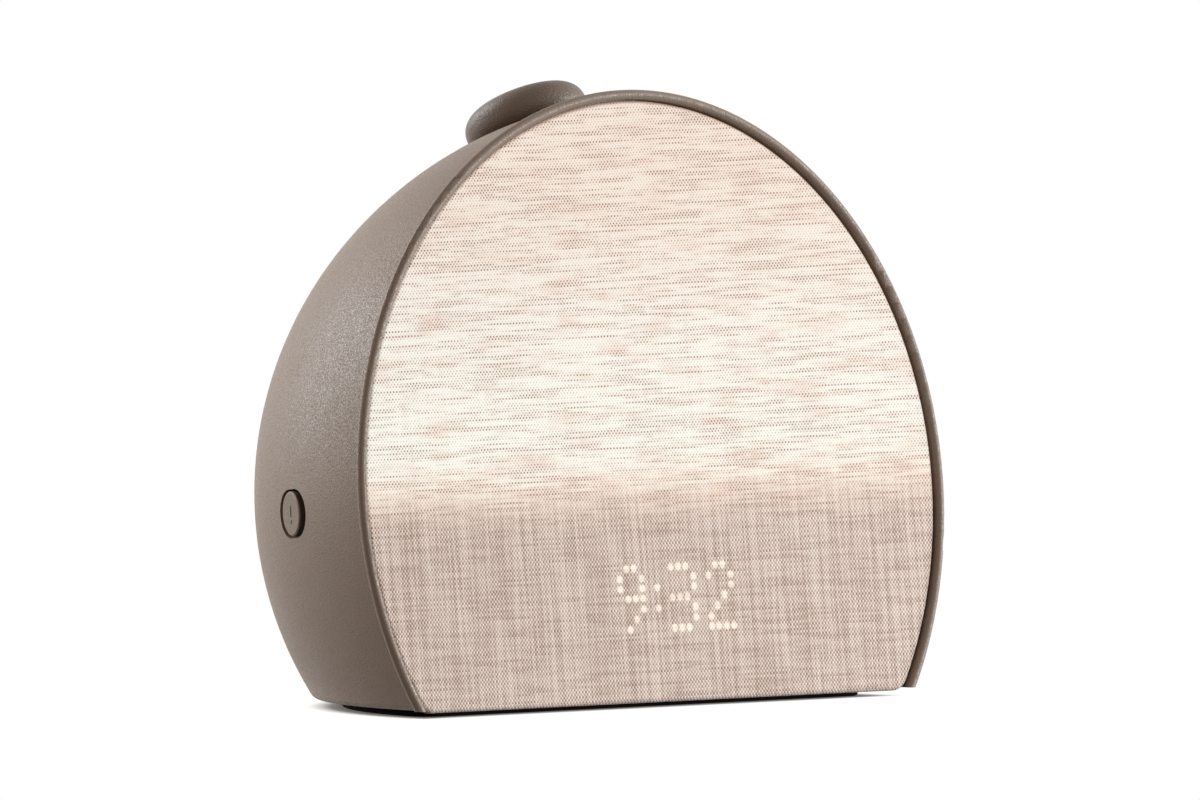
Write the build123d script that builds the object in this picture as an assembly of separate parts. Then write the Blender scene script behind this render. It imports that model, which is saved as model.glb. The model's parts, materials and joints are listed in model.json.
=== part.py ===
"""Sunrise alarm clock: a leaning dome with a linen front. Millimetres, +Z up, +Y to the back.

The origin is the middle of the foot's underside.  Most pieces are drawn about the face: u runs to
the right, v up the face and w out of it, so a depth behind the face is a negative w.
"""
from build123d import *
from math import atan2, cos, degrees, radians, sin, sqrt, tan
import os

os.makedirs("parts", exist_ok=True)

# ---------------------------------------------------------------- driving dimensions
# Face and dome
face_radius = 100.0          # over the bead
face_tilt = 6.0              # degrees that the face leans back
centre_height = 53.5         # middle of the face circle above the table
face_y = -40.0               # middle of the face circle, front to back
bead_radius = 1.25           # round lip along the arch
bead_proud = 2.05            # that the lip stands out from the dome's wall
dome_half_depth = 104.3      # long half axis of the dome's ellipse
widest_ahead = 3.9           # its widest section lies this far ahead of the face
back_rise = 6.0              # lowest point of the flat back above the underside
wall = 2.6                   # dome wall
back_wall = 7.0              # ring round the rear panel
floor_thickness = 3.6
bottom_round = 2.4           # rounding along the underside
back_round = 1.2             # rounding round the flat back

# Foot and base
foot_height = 2.0
foot_inset = 7.0             # foot pad inside the underside's edge
base_inset = 11.5            # base plate inside the underside's edge
base_ledge = 4.5             # that the plate rests on the floor's rim
base_thickness = 2.0
corner_radius = 5.0
base_boss_radius = 3.2
base_boss_height = 7.0
base_screw_length = 7.0

# Front panel: linen on a frame, set in the rim
panel_depth = 2.2            # face plane to ledge
fabric_thickness = 0.6
fabric_gap = 0.35            # between the linen's edge and the rim
rim_land = 0.1               # flat cut inside the bead
fabric_drop = 52.3           # bottom edge below the middle of the face
fabric_corner = 2.5
fabric_edge = 1.2            # rounding of the linen's front edge
window_border = 11.9         # frame left round the light window
window_sill = 3.3            # its sill above the middle of the face
rib_thickness = 2.0
rib_depth = 3.4              # stiffening rib behind the frame
frame_boss_radius = 2.8
frame_boss_length = 7.4      # from the frame's back to the shell's lugs
frame_screw_grip = 5.5       # of the screw in the boss
lug_thickness = 2.5
lug_radius = 4.0
lug_angles = (50, 130, -18, 198)

# Sunrise light
light_flange = 2.5           # diffuser and tray reach this far beyond the window
diffuser_gap = 0.2           # behind the linen
diffuser_flange_thickness = 1.5
tray_depth = 14.0
tray_wall = 1.5
tray_taper = 20.0            # degrees
light_board_thickness = 1.6
light_board_margin = 4.0
light_led = 3.5
light_led_height = 0.8
light_led_pitch = 20.0

# Time display: dots behind the linen
dot_pitch = 2.54
dot_columns = 21
dot_rows = 7
display_modules = 3          # LED matrix modules side by side, of 7 by 7 dots
module_gap = 0.04
display_drop = 26.5          # middle of the display below the middle of the face
cell_size = 1.9
mask_gap = 0.2               # behind the linen
mask_depth = 6.0
mask_border = 1.5
mask_flange = 2.0
mask_flange_thickness = 1.5
display_module_height = 0.8
display_board_thickness = 1.6
display_board_ear = 6.0
display_boss_radius = 2.4
display_screw_length = 4.8

# Top button
button_radius = 15.7
button_thickness = 10.0
button_edge = 4.7            # rounding of the pebble's edge
button_crown = 0.9           # extra height in the middle of its top
button_rise = 3.65           # middle of the pebble above the dome's surface
button_depth = 33.4          # behind the face
control_lean = 2.4           # degrees that the controls lean back from the wall's normal
button_travel = 1.4
well_gap = 1.2               # round the button
well_depth = 3.9
well_floor = 2.6
stem_radius = 3.5
stem_fit = 0.08              # running fit of the stem in its sleeve
sleeve_wall = 2.4
sleeve_length = 5.0          # below the well's floor
clip_thickness = 0.8
clip_width = 1.6
clip_groove = 0.6
stem_tip = 1.0               # below the clip
spring_wire = 0.7
spring_radius = 5.6
spring_turns = 3
spring_gap = 0.4             # round the spring in the button's pocket
spring_pocket = 4.2
button_post_radius = 2.4
button_post_offset = 12.5
button_screw_grip = 4.0

# Side toggles: round knobs in oblong slots
toggle_depth = 33.1          # behind the face
slot_length = 15.4
slot_width = 12.2
knob_radius = 5.6
knob_rise = 0.35             # that the knob stands out of the wall
knob_edge = 0.5
toggle_travel = 1.7          # each way
slot_pad_depth = 4.2         # flat pad behind the slot, below the outer surface
slot_pad_border = 2.6
slider_thickness = 1.2
slider_overlap = 1.5         # that the slider covers beyond the slot at full travel
guide_thickness = 1.4
guide_length = 13.0
guide_post_radius = 2.2
guide_screw_grip = 3.0
pin_radius = 1.2

# Switches behind the controls
running_gap = 0.3            # clearance between moving pieces
switch_size = 6.5
switch_height = 4.0
switch_margin = 1.6          # of the switch round its moving pin
switch_floor = 1.0           # of the pocket that the pin runs in
plunger_radius = 1.7
plunger_length = 2.6
plunger_gap = 0.4            # round the plunger in its switch
switch_board_thickness = 1.2
switch_board_width = 9.0

# Rear panel, speaker and power inlet
rear_rim = 2.8               # flat back left round the panel
rear_ledge = 4.0             # that the panel rests on
rear_panel_thickness = 2.4
rear_panel_recess = 0.8
rear_screw_length = 8.0
rear_boss_radius = 3.2
rear_boss_length = 4.0
part_gap = 0.3               # round parts that drop into a rebate
grille_margin = 0.3          # of the grille round the speaker's opening
grille_pitch = 3.4
grille_slot = 1.5
grille_rib = 2.4
speaker_gap = 0.5            # between the speaker's flange and the inlet's pad
speaker_flange_width = 4.6
speaker_flange_thickness = 1.2
speaker_screw_inset = 1.6    # from the flange's edge
speaker_lip = 1.7            # of the surround on the basket
speaker_wall = 1.0
speaker_taper = 5.4          # that the basket narrows
speaker_depth = 10.0
speaker_window = 6.0
speaker_post_radius = 1.8
gasket_thickness = 1.2
surround_thickness = 0.4
surround_roll = 1.3
cone_neck_radius = 4.5
cone_thickness = 0.5
magnet_inset = 3.9           # inside the basket's radius
magnet_length = 9.0
inlet_gap = 0.5              # between the inlet's pad and the hole's edge
inlet_width = 9.0
inlet_height = 3.26
inlet_length = 7.4
inlet_shell = 0.35
inlet_tongue = 0.7
inlet_tongue_set_back = 1.4
inlet_set_back = 0.2
inlet_recess_depth = 1.6
inlet_recess_width = 15.0
inlet_recess_height = 9.0
inlet_recess_corner = 2.0
inlet_pad_border = 1.6
inlet_pad_thickness = 2.2
inlet_board_width = 16.0
inlet_board_length = 13.0
inlet_board_thickness = 1.0
shelf_thickness = 1.6

# Main board and what stands on it
main_board_width = 80.0
main_board_length = 38.0
main_board_thickness = 1.6
main_board_y = -8.0
board_margin = 2.0           # of the parts inside the board's edge
board_part_gap = 2.0         # between two parts
processor_size = 12.0
processor_height = 1.4
driver_size = 8.0            # sound amplifier and light driver
driver_gap = 8.0             # either side of the processor
driver_height = 1.2
memory_size = 5.0
memory_height = 1.0
module_width = 18.0
module_length = 14.0
module_height = 2.6
module_corner = 0.8
capacitor_radius = 4.0
capacitor_height = 9.0
socket_width = 9.0
socket_length = 4.5
socket_height = 5.0
socket_pitch = 16.0
board_post_height = 8.0
board_post_radius = 3.0
board_post_margin = 4.5
board_corner = 2.0
board_screw_grip = 4.5

# Screws: countersunk for covers, pan heads for boards
screw_radius = 1.1
pilot_gap = 0.05
pilot_spare = 1.0            # that a pilot hole goes deeper than its screw
screw_hole_gap = 0.25
screw_slot = 0.5
flat_head_radius = 2.1
flat_head_height = 1.2
pan_head_radius = 1.9
pan_head_height = 1.3

# ---------------------------------------------------------------- shared values
tilt = radians(face_tilt)
reach = 4 * face_radius       # size of cutting blocks
through = face_radius / 2     # longer than any hole or wall that is cut
slight = 0.01
BOTTOM = (Align.CENTER, Align.CENTER, Align.MIN)
TOP = (Align.CENTER, Align.CENTER, Align.MAX)
UPPER = (Align.CENTER, Align.MIN)

bead_circle = face_radius - bead_radius
wall_radius_at_face = face_radius - bead_proud
bead_side = bead_radius / sqrt(2)    # where a slope of 45 degrees touches the bead
dome_radius = wall_radius_at_face / sqrt(1 - (widest_ahead / dome_half_depth) ** 2)
rim_radius = face_radius - 2 * bead_radius + rim_land
fabric_radius = rim_radius - fabric_gap
frame_radius = fabric_radius - fabric_thickness
frame_drop = fabric_drop - fabric_thickness
window_radius = frame_radius - window_border
frame_back = -panel_depth
floor_top = foot_height + floor_thickness

face = Plane(origin=(0, face_y, centre_height), x_dir=(1, 0, 0), z_dir=(0, -cos(tilt), sin(tilt)))


def save(part, node):
    """Write one node and say what it holds."""
    part.label = node
    export_step(part, f"parts/{node}.step")
    print(f"{node:24s} solids {len(part.solids()):4d}  volume {part.volume / 1000:9.3f} cm3")


def on_face(part):
    """Move a part from face coordinates into the clock's frame."""
    return face.location * part


# ---------------------------------------------------------------- shapes of the dome
def dome_radius_at(depth, inset=0.0):
    """Radius of the dome at a depth behind the face, on a surface inset from the outside."""
    share = (depth + widest_ahead) / (dome_half_depth - inset)
    return (dome_radius - inset) * sqrt(1 - share ** 2)


def dome_solid(inset, back):
    """Ellipsoid of the dome from the face back to a w value, in face coordinates."""
    outline = Pos(0, widest_ahead) * Ellipse(dome_radius - inset, dome_half_depth - inset)
    half = outline & (Pos(0, back) * Rectangle(reach, -back, align=(Align.MIN, Align.MIN)))
    return revolve(Plane.XZ * half, Axis.Z)


def disc(radius, front, back):
    """Round slab about the face's axis between two w values."""
    return Pos(0, 0, back) * Cylinder(radius, front - back, align=BOTTOM)


def above(height):
    """Block that keeps what lies above a height."""
    return Pos(0, 0, height) * Box(reach, reach, reach, align=BOTTOM)


def floor_line(w):
    """Where the floor's top meets a plane parallel to the face, as a v value."""
    return (floor_top - centre_height - w * sin(tilt)) / cos(tilt)


def wall_plane(depth, angle):
    """Plane on the dome's surface, z out of the wall and y along the wall to the front."""
    radius = dome_radius_at(depth)
    lean = atan2((depth + widest_ahead) / dome_half_depth ** 2, radius / dome_radius ** 2)
    lean = lean + radians(control_lean)
    around = radians(angle)
    outward = (cos(lean) * cos(around), cos(lean) * sin(around), -sin(lean))
    origin = (radius * cos(around), radius * sin(around), -depth)
    return Plane(origin=origin, x_dir=(-sin(around), cos(around), 0), z_dir=outward)


def level_ellipse(height):
    """Middle and half axes of the ellipse that the dome leaves on a level plane."""
    rise = height - centre_height
    a, b = dome_radius, dome_half_depth
    v0, w0 = rise * cos(tilt), rise * sin(tilt) - widest_ahead
    square = sin(tilt) ** 2 / a ** 2 + cos(tilt) ** 2 / b ** 2
    linear = sin(tilt) * v0 / a ** 2 - cos(tilt) * w0 / b ** 2
    rest = v0 ** 2 / a ** 2 + w0 ** 2 / b ** 2 - 1
    size = linear ** 2 / square - rest
    return face_y - linear / square, a * sqrt(size), sqrt(size / square)


def underside_front(inset):
    """Straight front of the underside's outline, inset from its edge."""
    return face_y + (foot_height - centre_height) * tan(tilt) + inset


def underside_outline(inset, corner=corner_radius):
    """D outline of the underside, inset from its edge."""
    middle, half_width, half_length = level_ellipse(foot_height)
    oval = Pos(0, middle) * Ellipse(half_width - inset, half_length - inset)
    behind = Pos(0, underside_front(inset)) * Rectangle(reach, reach, align=UPPER)
    outline = oval & behind
    return fillet(outline.vertices(), corner)


def face_outline(radius, drop, corner):
    """D outline of the face: a circle cut flat below its middle, with rounded corners."""
    outline = Circle(radius) & (Pos(0, -drop) * Rectangle(reach, reach, align=UPPER))
    return fillet(outline.vertices(), corner)


def window_outline(inset):
    """Half-round outline of the light window, inset from its edge."""
    half = Pos(0, window_sill + inset) * Rectangle(reach, reach, align=UPPER)
    return Circle(window_radius - inset) & half


def slot_outline(border=0.0, stretch=0.0):
    """Oblong of the toggle's slot, its length along y."""
    length = slot_length + 2 * (border + stretch)
    return Rot(0, 0, 90) * SlotOverall(length, slot_width + 2 * border)


# ---------------------------------------------------------------- screws and their holes
def flat_screw(length):
    """Countersunk self-tapping screw, its head's top at z = 0 and its shank going down."""
    head = Cone(screw_radius, flat_head_radius, flat_head_height, align=TOP)
    drive = Box(2 * screw_radius, screw_slot, flat_head_height)
    return head + Cylinder(screw_radius, length, align=TOP) - drive


def flat_hole(length):
    """Hole that a countersunk screw passes through, with its head's seat."""
    radius = screw_radius + screw_hole_gap
    seat = Cone(radius, flat_head_radius + screw_hole_gap, flat_head_height, align=TOP)
    return seat + Cylinder(radius, length, align=TOP)


def pan_screw(length):
    """Pan head screw, its head standing on z = 0 and its shank going down."""
    head = Cone(pan_head_radius, screw_radius, pan_head_height, align=BOTTOM)
    return head + Cylinder(screw_radius, length, align=TOP)


def pilot(length):
    """Pilot hole for a screw's shank, going down from z = 0."""
    return Cylinder(screw_radius + pilot_gap, length, align=TOP)


def clear_hole(length):
    """Hole that a screw's shank passes freely, half above z = 0 and half below."""
    return Cylinder(screw_radius + screw_hole_gap, length)


def ring_points(radius, angles):
    """Places on a circle."""
    return [(radius * cos(radians(a)), radius * sin(radians(a))) for a in angles]


def copies(part, points, z=0.0, turn=0):
    """Copies of a part at points of a plane, turned over where its screws go the other way."""
    return [Pos(x, y, z) * Rot(turn, 0, 0) * part for x, y in points]


def group(parts):
    """Several separate solids as one node."""
    return Compound(children=[solid for part in parts for solid in part.solids()])


# ---------------------------------------------------------------- places shared by several pieces
button_plane = wall_plane(button_depth, 90)
toggle_planes = {"left": wall_plane(toggle_depth, 180), "right": wall_plane(toggle_depth, 0)}

lug_front = frame_back - frame_boss_length
lug_back = lug_front - lug_thickness
lug_circle = (window_radius + light_flange + dome_radius_at(-lug_front, wall)) / 2
lug_points = ring_points(lug_circle, lug_angles)

back_level = foot_height + back_rise
back_middle, back_half_width, back_half_length = level_ellipse(back_level)
back_reach = back_middle + back_half_length - face_y
back_depth = back_reach * cos(tilt) - (back_level - centre_height) * sin(tilt)
rear_panel_radius = dome_radius_at(back_depth) - rear_rim
rear_hole_radius = rear_panel_radius - rear_ledge
rear_face = rear_panel_recess - back_depth
rear_seat = rear_face + rear_panel_thickness
rear_ring_front = back_wall - back_depth
rear_screw_circle = (rear_hole_radius + rear_panel_radius) / 2
rear_points = ring_points(rear_screw_circle, (45, 135, 225, 315))

inlet_pad_width = inlet_recess_width + 2 * inlet_pad_border
inlet_pad_height = inlet_recess_height + 2 * inlet_pad_border
inlet_reach = sqrt((rear_hole_radius - inlet_gap) ** 2 - (inlet_pad_width / 2) ** 2)
inlet_down = inlet_reach - inlet_pad_height / 2
speaker_high = rear_hole_radius - part_gap
speaker_low = speaker_gap - inlet_down + inlet_pad_height / 2
speaker_up = (speaker_high + speaker_low) / 2
speaker_flange_radius = (speaker_high - speaker_low) / 2
speaker_body_radius = speaker_flange_radius - speaker_flange_width
speaker_neck_radius = speaker_body_radius - speaker_taper
speaker_opening = speaker_body_radius - speaker_lip
grille_radius = speaker_opening + grille_margin
speaker_points = ring_points(speaker_flange_radius - speaker_screw_inset, (45, 135, 225, 315))
speaker_axis = Pos(0, speaker_up, rear_seat)
speaker_seat = gasket_thickness + surround_thickness
speaker_screw_grip = speaker_seat + rear_panel_thickness / 2

sleeve_bottom = -(well_depth + well_floor + sleeve_length)
clip_top = sleeve_bottom - running_gap
stem_bottom = clip_top - clip_thickness - stem_tip
button_switch_top = stem_bottom - button_travel - running_gap
button_board_top = button_switch_top - switch_height
button_points = [(-button_post_offset, 0), (button_post_offset, 0)]
well_radius = button_radius + well_gap

slider_top = -(slot_pad_depth + running_gap)
guide_top = slider_top - slider_thickness - running_gap
guide_bottom = guide_top - guide_thickness
guide_post_offset = slot_width / 2 + slider_overlap + running_gap + guide_post_radius
guide_points = [(-guide_post_offset, 0), (guide_post_offset, 0)]
pin_bottom = guide_bottom - switch_height / 2

mask_front = -(fabric_thickness + mask_gap)
mask_back = mask_front - mask_depth
mask_width = dot_columns * dot_pitch + 2 * mask_border
mask_height = dot_rows * dot_pitch + 2 * mask_border
display_board_width = mask_width + 2 * mask_flange + 2 * display_board_ear
display_board_height = mask_height + 2 * mask_flange
display_boss_x = (display_board_width - display_board_ear) / 2
display_boss_y = display_board_height / 2 - display_boss_radius - 1.0
display_points = GridLocations(2 * display_boss_x, 2 * display_boss_y, 2, 2)
display_points = [(place.position.X, place.position.Y) for place in display_points]
display_middle = Pos(0, -display_drop, 0)

board_bottom = foot_height + base_thickness + board_post_height
board_top = board_bottom + main_board_thickness
post_x = main_board_width / 2 - board_post_margin
post_y = main_board_length / 2 - board_post_margin
board_points = [(x, main_board_y + y) for x in (-post_x, post_x) for y in (-post_y, post_y)]


def base_points():
    """Screw places round the base plate, over its ledge: three round the back, two in front."""
    inset = base_inset + base_ledge / 2
    middle, half_width, half_length = level_ellipse(foot_height)
    a, b = half_width - inset, half_length - inset
    behind = [(a * cos(radians(t)), middle + b * sin(radians(t))) for t in (35, 90, 145)]
    return behind + [(-a / 2, underside_front(inset)), (a / 2, underside_front(inset))]


# ---------------------------------------------------------------- dome shell
def button_seat():
    """Cup, sleeve and posts inside the wall that carry the top button, on the button's plane."""
    cup = Pos(0, 0, -well_depth - well_floor) * Cylinder(well_radius + wall, through, align=BOTTOM)
    sleeve_radius = stem_radius + stem_fit + sleeve_wall
    sleeve = Pos(0, 0, sleeve_bottom) * Cylinder(sleeve_radius, -sleeve_bottom, align=BOTTOM)
    post = Cylinder(button_post_radius, -button_board_top, align=BOTTOM)
    posts = copies(post, button_points, button_board_top)
    return cup + sleeve + posts


def button_cuts():
    """Well, stem bore and pilot holes of the top button."""
    well = Pos(0, 0, -well_depth) * Cylinder(well_radius, through, align=BOTTOM)
    bore = Cylinder(stem_radius + stem_fit, through)
    holes = copies(pilot(button_screw_grip + pilot_spare), button_points, button_board_top, 180)
    return well + bore + holes


def toggle_seat():
    """Flat pad and guide posts inside the wall, on a toggle's plane."""
    pad = Pos(0, 0, -slot_pad_depth) * extrude(slot_outline(slot_pad_border), through)
    posts = copies(Cylinder(guide_post_radius, -guide_top, align=BOTTOM), guide_points, guide_top)
    return pad + posts


def toggle_cuts():
    """Slot through the wall and pilot holes in the guide posts."""
    slot = extrude(slot_outline(), through, both=True)
    holes = copies(pilot(guide_screw_grip + pilot_spare), guide_points, guide_top, 180)
    return slot + holes


def lug(x, y):
    """Tongue from the wall to one boss of the front frame, with its screw hole."""
    angle = degrees(atan2(y, x))
    length = dome_radius_at(-lug_front) - lug_circle
    tongue = Cylinder(lug_radius, lug_thickness, align=BOTTOM)
    tongue = tongue + Box(length, 2 * lug_radius, lug_thickness, align=(Align.MIN, Align.CENTER, Align.MIN))
    tongue = tongue - clear_hole(through)
    return Pos(x, y, lug_back) * Rot(0, 0, angle) * tongue


def bead_back():
    """Slope of 45 degrees that carries the bead from the dome's wall."""
    outer, inner = bead_circle + bead_side, wall_radius_at_face - wall / 2
    return Pos(0, 0, -bead_side) * Cone(inner, outer, outer - inner, align=TOP)


def dome_shell():
    """Moulded dome: round lip, open front, floor rim, flat back and the seats of its controls."""
    body = dome_solid(0, -back_depth)
    body = fillet(body.edges().filter_by(GeomType.CIRCLE).sort_by(Axis.Z)[0], back_round)
    body = on_face(body) & above(foot_height)
    low = [e for e in body.edges() if e.center().Z < foot_height + slight and e.geom_type != GeomType.LINE]
    body = fillet(low, bottom_round)
    bead = on_face(Torus(bead_circle, bead_radius) + bead_back()) & above(foot_height)
    cavity = on_face(dome_solid(wall, rear_ring_front)) & above(floor_top)
    shell = body + bead - cavity

    inner = dome_solid(wall / 2, -back_depth)
    seats = button_plane.location * button_seat()
    for plane in toggle_planes.values():
        seats = seats + plane.location * toggle_seat()
    for x, y in lug_points:
        seats = seats + lug(x, y)
    seats = seats & inner
    rear_boss = Cylinder(rear_boss_radius, rear_boss_length, align=BOTTOM)
    seats = seats + copies(rear_boss, rear_points, rear_ring_front)
    shell = shell + on_face(seats)
    base_boss = Cylinder(base_boss_radius, base_boss_height, align=BOTTOM)
    shell = shell + copies(base_boss, base_points(), foot_height + base_thickness)

    cuts = disc(rim_radius, through, frame_back)
    cuts = cuts + disc(rear_hole_radius, rear_ring_front + slight, -back_depth - 1)
    cuts = cuts + disc(rear_panel_radius + part_gap, rear_seat, -back_depth - 1)
    rear_pilots = copies(pilot(rear_screw_length), rear_points, rear_face, 180)
    cuts = cuts + rear_pilots + button_plane.location * button_cuts()
    for plane in toggle_planes.values():
        cuts = cuts + plane.location * toggle_cuts()
    shell = shell - on_face(cuts)
    opening = extrude(underside_outline(base_inset + base_ledge), floor_top + slight)
    opening = opening - copies(base_boss, base_points(), foot_height + base_thickness)
    rebate = extrude(underside_outline(base_inset - part_gap), foot_height + base_thickness)
    shell = shell - opening - rebate
    return shell - copies(pilot(base_screw_length), base_points(), foot_height, 180)


# ---------------------------------------------------------------- base
def base_plate():
    """Plate that closes the underside, with posts for the main board."""
    plate = Pos(0, 0, foot_height) * extrude(underside_outline(base_inset), base_thickness)
    post = Cylinder(board_post_radius, board_post_height, align=BOTTOM)
    plate = plate + copies(post, board_points, foot_height + base_thickness)
    plate = plate - copies(flat_hole(through), base_points(), foot_height, 180)
    return plate - copies(pilot(board_screw_grip + pilot_spare), board_points, board_bottom)


def foot_pad():
    """Rubber pad under the base, its lower edge rounded."""
    pad = extrude(underside_outline(foot_inset), foot_height)
    return fillet(pad.edges().group_by(Axis.Z)[0], foot_height / 4)


# ---------------------------------------------------------------- front panel
def panel_block(radius, drop, corner, front, rounding):
    """Slab of the face's outline with a rounded front edge, its back on the rim's ledge."""
    outline = face_outline(radius, drop, corner)
    slab = Pos(0, 0, frame_back) * extrude(outline, front - frame_back)
    return fillet(slab.edges().group_by(Axis.Z)[-1], rounding)


def frame_block():
    """What the linen is wrapped over: the frame without its openings."""
    corner, rounding = fabric_corner - fabric_thickness, fabric_edge - fabric_thickness
    return panel_block(frame_radius, frame_drop, corner, -fabric_thickness, rounding)


def fabric_cover():
    """Linen: one sheet over the front of the frame, turned back round its edge."""
    return panel_block(fabric_radius, fabric_drop, fabric_corner, 0, fabric_edge) - frame_block()


def display_opening(gap):
    """Rectangle in the frame that the display's mask fits, with a gap round it."""
    return Pos(0, -display_drop) * Rectangle(mask_width + 2 * gap, mask_height + 2 * gap)


def front_frame():
    """Frame with the light window, the display opening, a stiffening rib and screw bosses."""
    rib_radius = dome_radius_at(panel_depth + rib_depth, wall) - part_gap
    rib_drop = -floor_line(frame_back - rib_depth) - part_gap
    rib = face_outline(rib_radius, rib_drop, fabric_corner + rib_thickness)
    rib = rib - face_outline(rib_radius - rib_thickness, rib_drop - rib_thickness, fabric_corner)
    frame = frame_block() + Pos(0, 0, frame_back - rib_depth) * extrude(rib, rib_depth)
    frame = frame - extrude(window_outline(0) + display_opening(part_gap), through, both=True)
    lug_boss = Cylinder(frame_boss_radius, frame_boss_length, align=BOTTOM)
    frame = frame + copies(lug_boss, lug_points, lug_front)
    length = frame_back - mask_back
    display_boss = Cylinder(display_boss_radius, length, align=BOTTOM)
    frame = frame + display_middle * group(copies(display_boss, display_points, mask_back))
    frame = frame - copies(pilot(frame_screw_grip + pilot_spare), lug_points, lug_front, 180)
    display_pilot = pilot(display_screw_length - display_board_thickness + pilot_spare / 2)
    holes = copies(display_pilot, display_points, mask_back, 180)
    return frame - display_middle * group(holes)


# ---------------------------------------------------------------- sunrise light
def window_plate(inset, front, back):
    """Slab of the light window's outline between two w values."""
    return Pos(0, 0, back) * extrude(window_outline(inset), front - back)


diffuser_front = -(fabric_thickness + diffuser_gap)
tray_front = frame_back - diffuser_flange_thickness
tray_back = tray_front - tray_depth
tray_floor = tray_back + tray_wall
tray_lean = tan(radians(tray_taper))


def light_diffuser():
    """Opal plate that fills the window, with a flange behind the frame."""
    plate = window_plate(part_gap, diffuser_front, frame_back)
    return plate + window_plate(-light_flange, frame_back, tray_front)


def tapered(inset, front, back):
    """Half-round block that narrows to the back by the tray's taper."""
    lost = (front - back) * tray_lean
    outlines = [Pos(0, 0, front) * window_outline(inset), Pos(0, 0, back) * window_outline(inset + lost)]
    return loft(outlines)


def light_tray():
    """White reflector tray behind the diffuser."""
    outside = tapered(-light_flange, tray_front, tray_back)
    return outside - tapered(tray_wall - light_flange, tray_front, tray_floor)


def light_board_inset():
    """Inset of the light's board from the window's edge, a margin inside the tray's floor."""
    return tray_wall - light_flange + (tray_front - tray_floor) * tray_lean + light_board_margin


def light_board():
    """Half-round circuit board on the tray's floor."""
    return window_plate(light_board_inset(), tray_floor + light_board_thickness, tray_floor)


def light_led_points():
    """Places of the light's LEDs: rows of a square grid inside the board's outline."""
    edge = light_board_inset() + light_led
    rows = int((window_radius - edge) / light_led_pitch)
    points = []
    for row in range(rows):
        v = window_sill + edge + light_led / 2 + row * light_led_pitch
        across = int(sqrt(max((window_radius - edge) ** 2 - v ** 2, 0)) / light_led_pitch)
        points = points + [(column * light_led_pitch, v) for column in range(-across, across + 1)]
    return points


def light_leds():
    """LED packages on the light's board."""
    package = Box(light_led, light_led, light_led_height, align=BOTTOM)
    return group(copies(package, light_led_points(), tray_floor + light_board_thickness))


# ---------------------------------------------------------------- time display
def dot_grid(size):
    """Squares of the display's dots."""
    grid = GridLocations(dot_pitch, dot_pitch, dot_columns, dot_rows)
    return Sketch() + [place * Rectangle(size, size) for place in grid]


def display_mask():
    """Black mask of square cells, one for each dot, with a rim round the modules and a flange."""
    cells = dot_grid(cell_size)
    block = Pos(0, 0, mask_back) * extrude(Rectangle(mask_width, mask_height) - cells, mask_depth)
    modules = Rectangle(dot_columns * dot_pitch, dot_rows * dot_pitch)
    block = block - Pos(0, 0, mask_back) * extrude(modules, display_module_height)
    outside = Rectangle(mask_width + 2 * mask_flange, mask_height + 2 * mask_flange)
    rim = outside - Rectangle(mask_width - slight, mask_height - slight)
    flange_back = frame_back - mask_flange_thickness
    return display_middle * (block + Pos(0, 0, flange_back) * extrude(rim, mask_flange_thickness))


def display_board():
    """Circuit board of the display, screwed behind the mask."""
    board = RectangleRounded(display_board_width, display_board_height, board_corner)
    board = Pos(0, 0, mask_back - display_board_thickness) * extrude(board, display_board_thickness)
    return display_middle * (board - copies(clear_hole(through), display_points))


def display_leds():
    """LED matrix modules on the display's board, behind the mask's cells."""
    size = dot_rows * dot_pitch - module_gap
    module = Box(size, size, display_module_height, align=BOTTOM)
    pitch = dot_columns * dot_pitch / display_modules
    places = [((number - (display_modules - 1) / 2) * pitch, 0) for number in range(display_modules)]
    return display_middle * group(copies(module, places, mask_back))


# ---------------------------------------------------------------- top button, on its own plane
def pebble_outline():
    """Half outline of the button: a crowned top, round edges and a flat underside."""
    e, half = button_edge, button_thickness / 2
    flat = button_radius - e
    top = half + button_crown
    crown = (flat ** 2 + (e + button_crown) ** 2 - e ** 2) / (2 * button_crown)
    lean = atan2(flat, sqrt((crown - e) ** 2 - flat ** 2))
    middle = (crown * sin(lean / 2), top - crown * (1 - cos(lean / 2)))
    end = (crown * sin(lean), top - crown * (1 - cos(lean)))
    turn = (lean + radians(90)) / 2
    side = half - e
    shoulder = (flat + e * sin(turn), side + e * cos(turn))
    lines = [
        ThreePointArc((0, top), middle, end),
        ThreePointArc(end, shoulder, (button_radius, side)),
        Line((button_radius, side), (button_radius, -side)),
        RadiusArc((button_radius, -side), (flat, -half), e),
        Line((flat, -half), (0, -half)),
        Line((0, -half), (0, top)),
    ]
    return make_face(lines)


def top_button():
    """Pebble with a pocket for its spring and a stem that runs in the sleeve."""
    pebble = Pos(0, 0, button_rise) * revolve(Plane.XZ * pebble_outline(), Axis.Z)
    underside = button_rise - button_thickness / 2
    outer = spring_radius + spring_wire / 2 + spring_gap
    pocket = Pos(0, 0, underside) * Cylinder(outer, spring_pocket, align=BOTTOM)
    stem = Pos(0, 0, stem_bottom) * Cylinder(stem_radius, button_rise - stem_bottom, align=BOTTOM)
    groove = Cylinder(stem_radius + slight, clip_thickness, align=TOP)
    groove = groove - Cylinder(stem_radius - clip_groove, clip_thickness, align=TOP)
    return pebble - pocket + stem - Pos(0, 0, clip_top) * groove


def button_clip():
    """Open snap ring in the stem's groove, under the sleeve."""
    clip = Cylinder(stem_radius + clip_width, clip_thickness, align=TOP)
    clip = clip - Cylinder(stem_radius - clip_groove, clip_thickness, align=TOP)
    mouth = Box(through, stem_radius, clip_thickness, align=(Align.MIN, Align.CENTER, Align.MAX))
    return Pos(0, 0, clip_top) * (clip - mouth)


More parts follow.
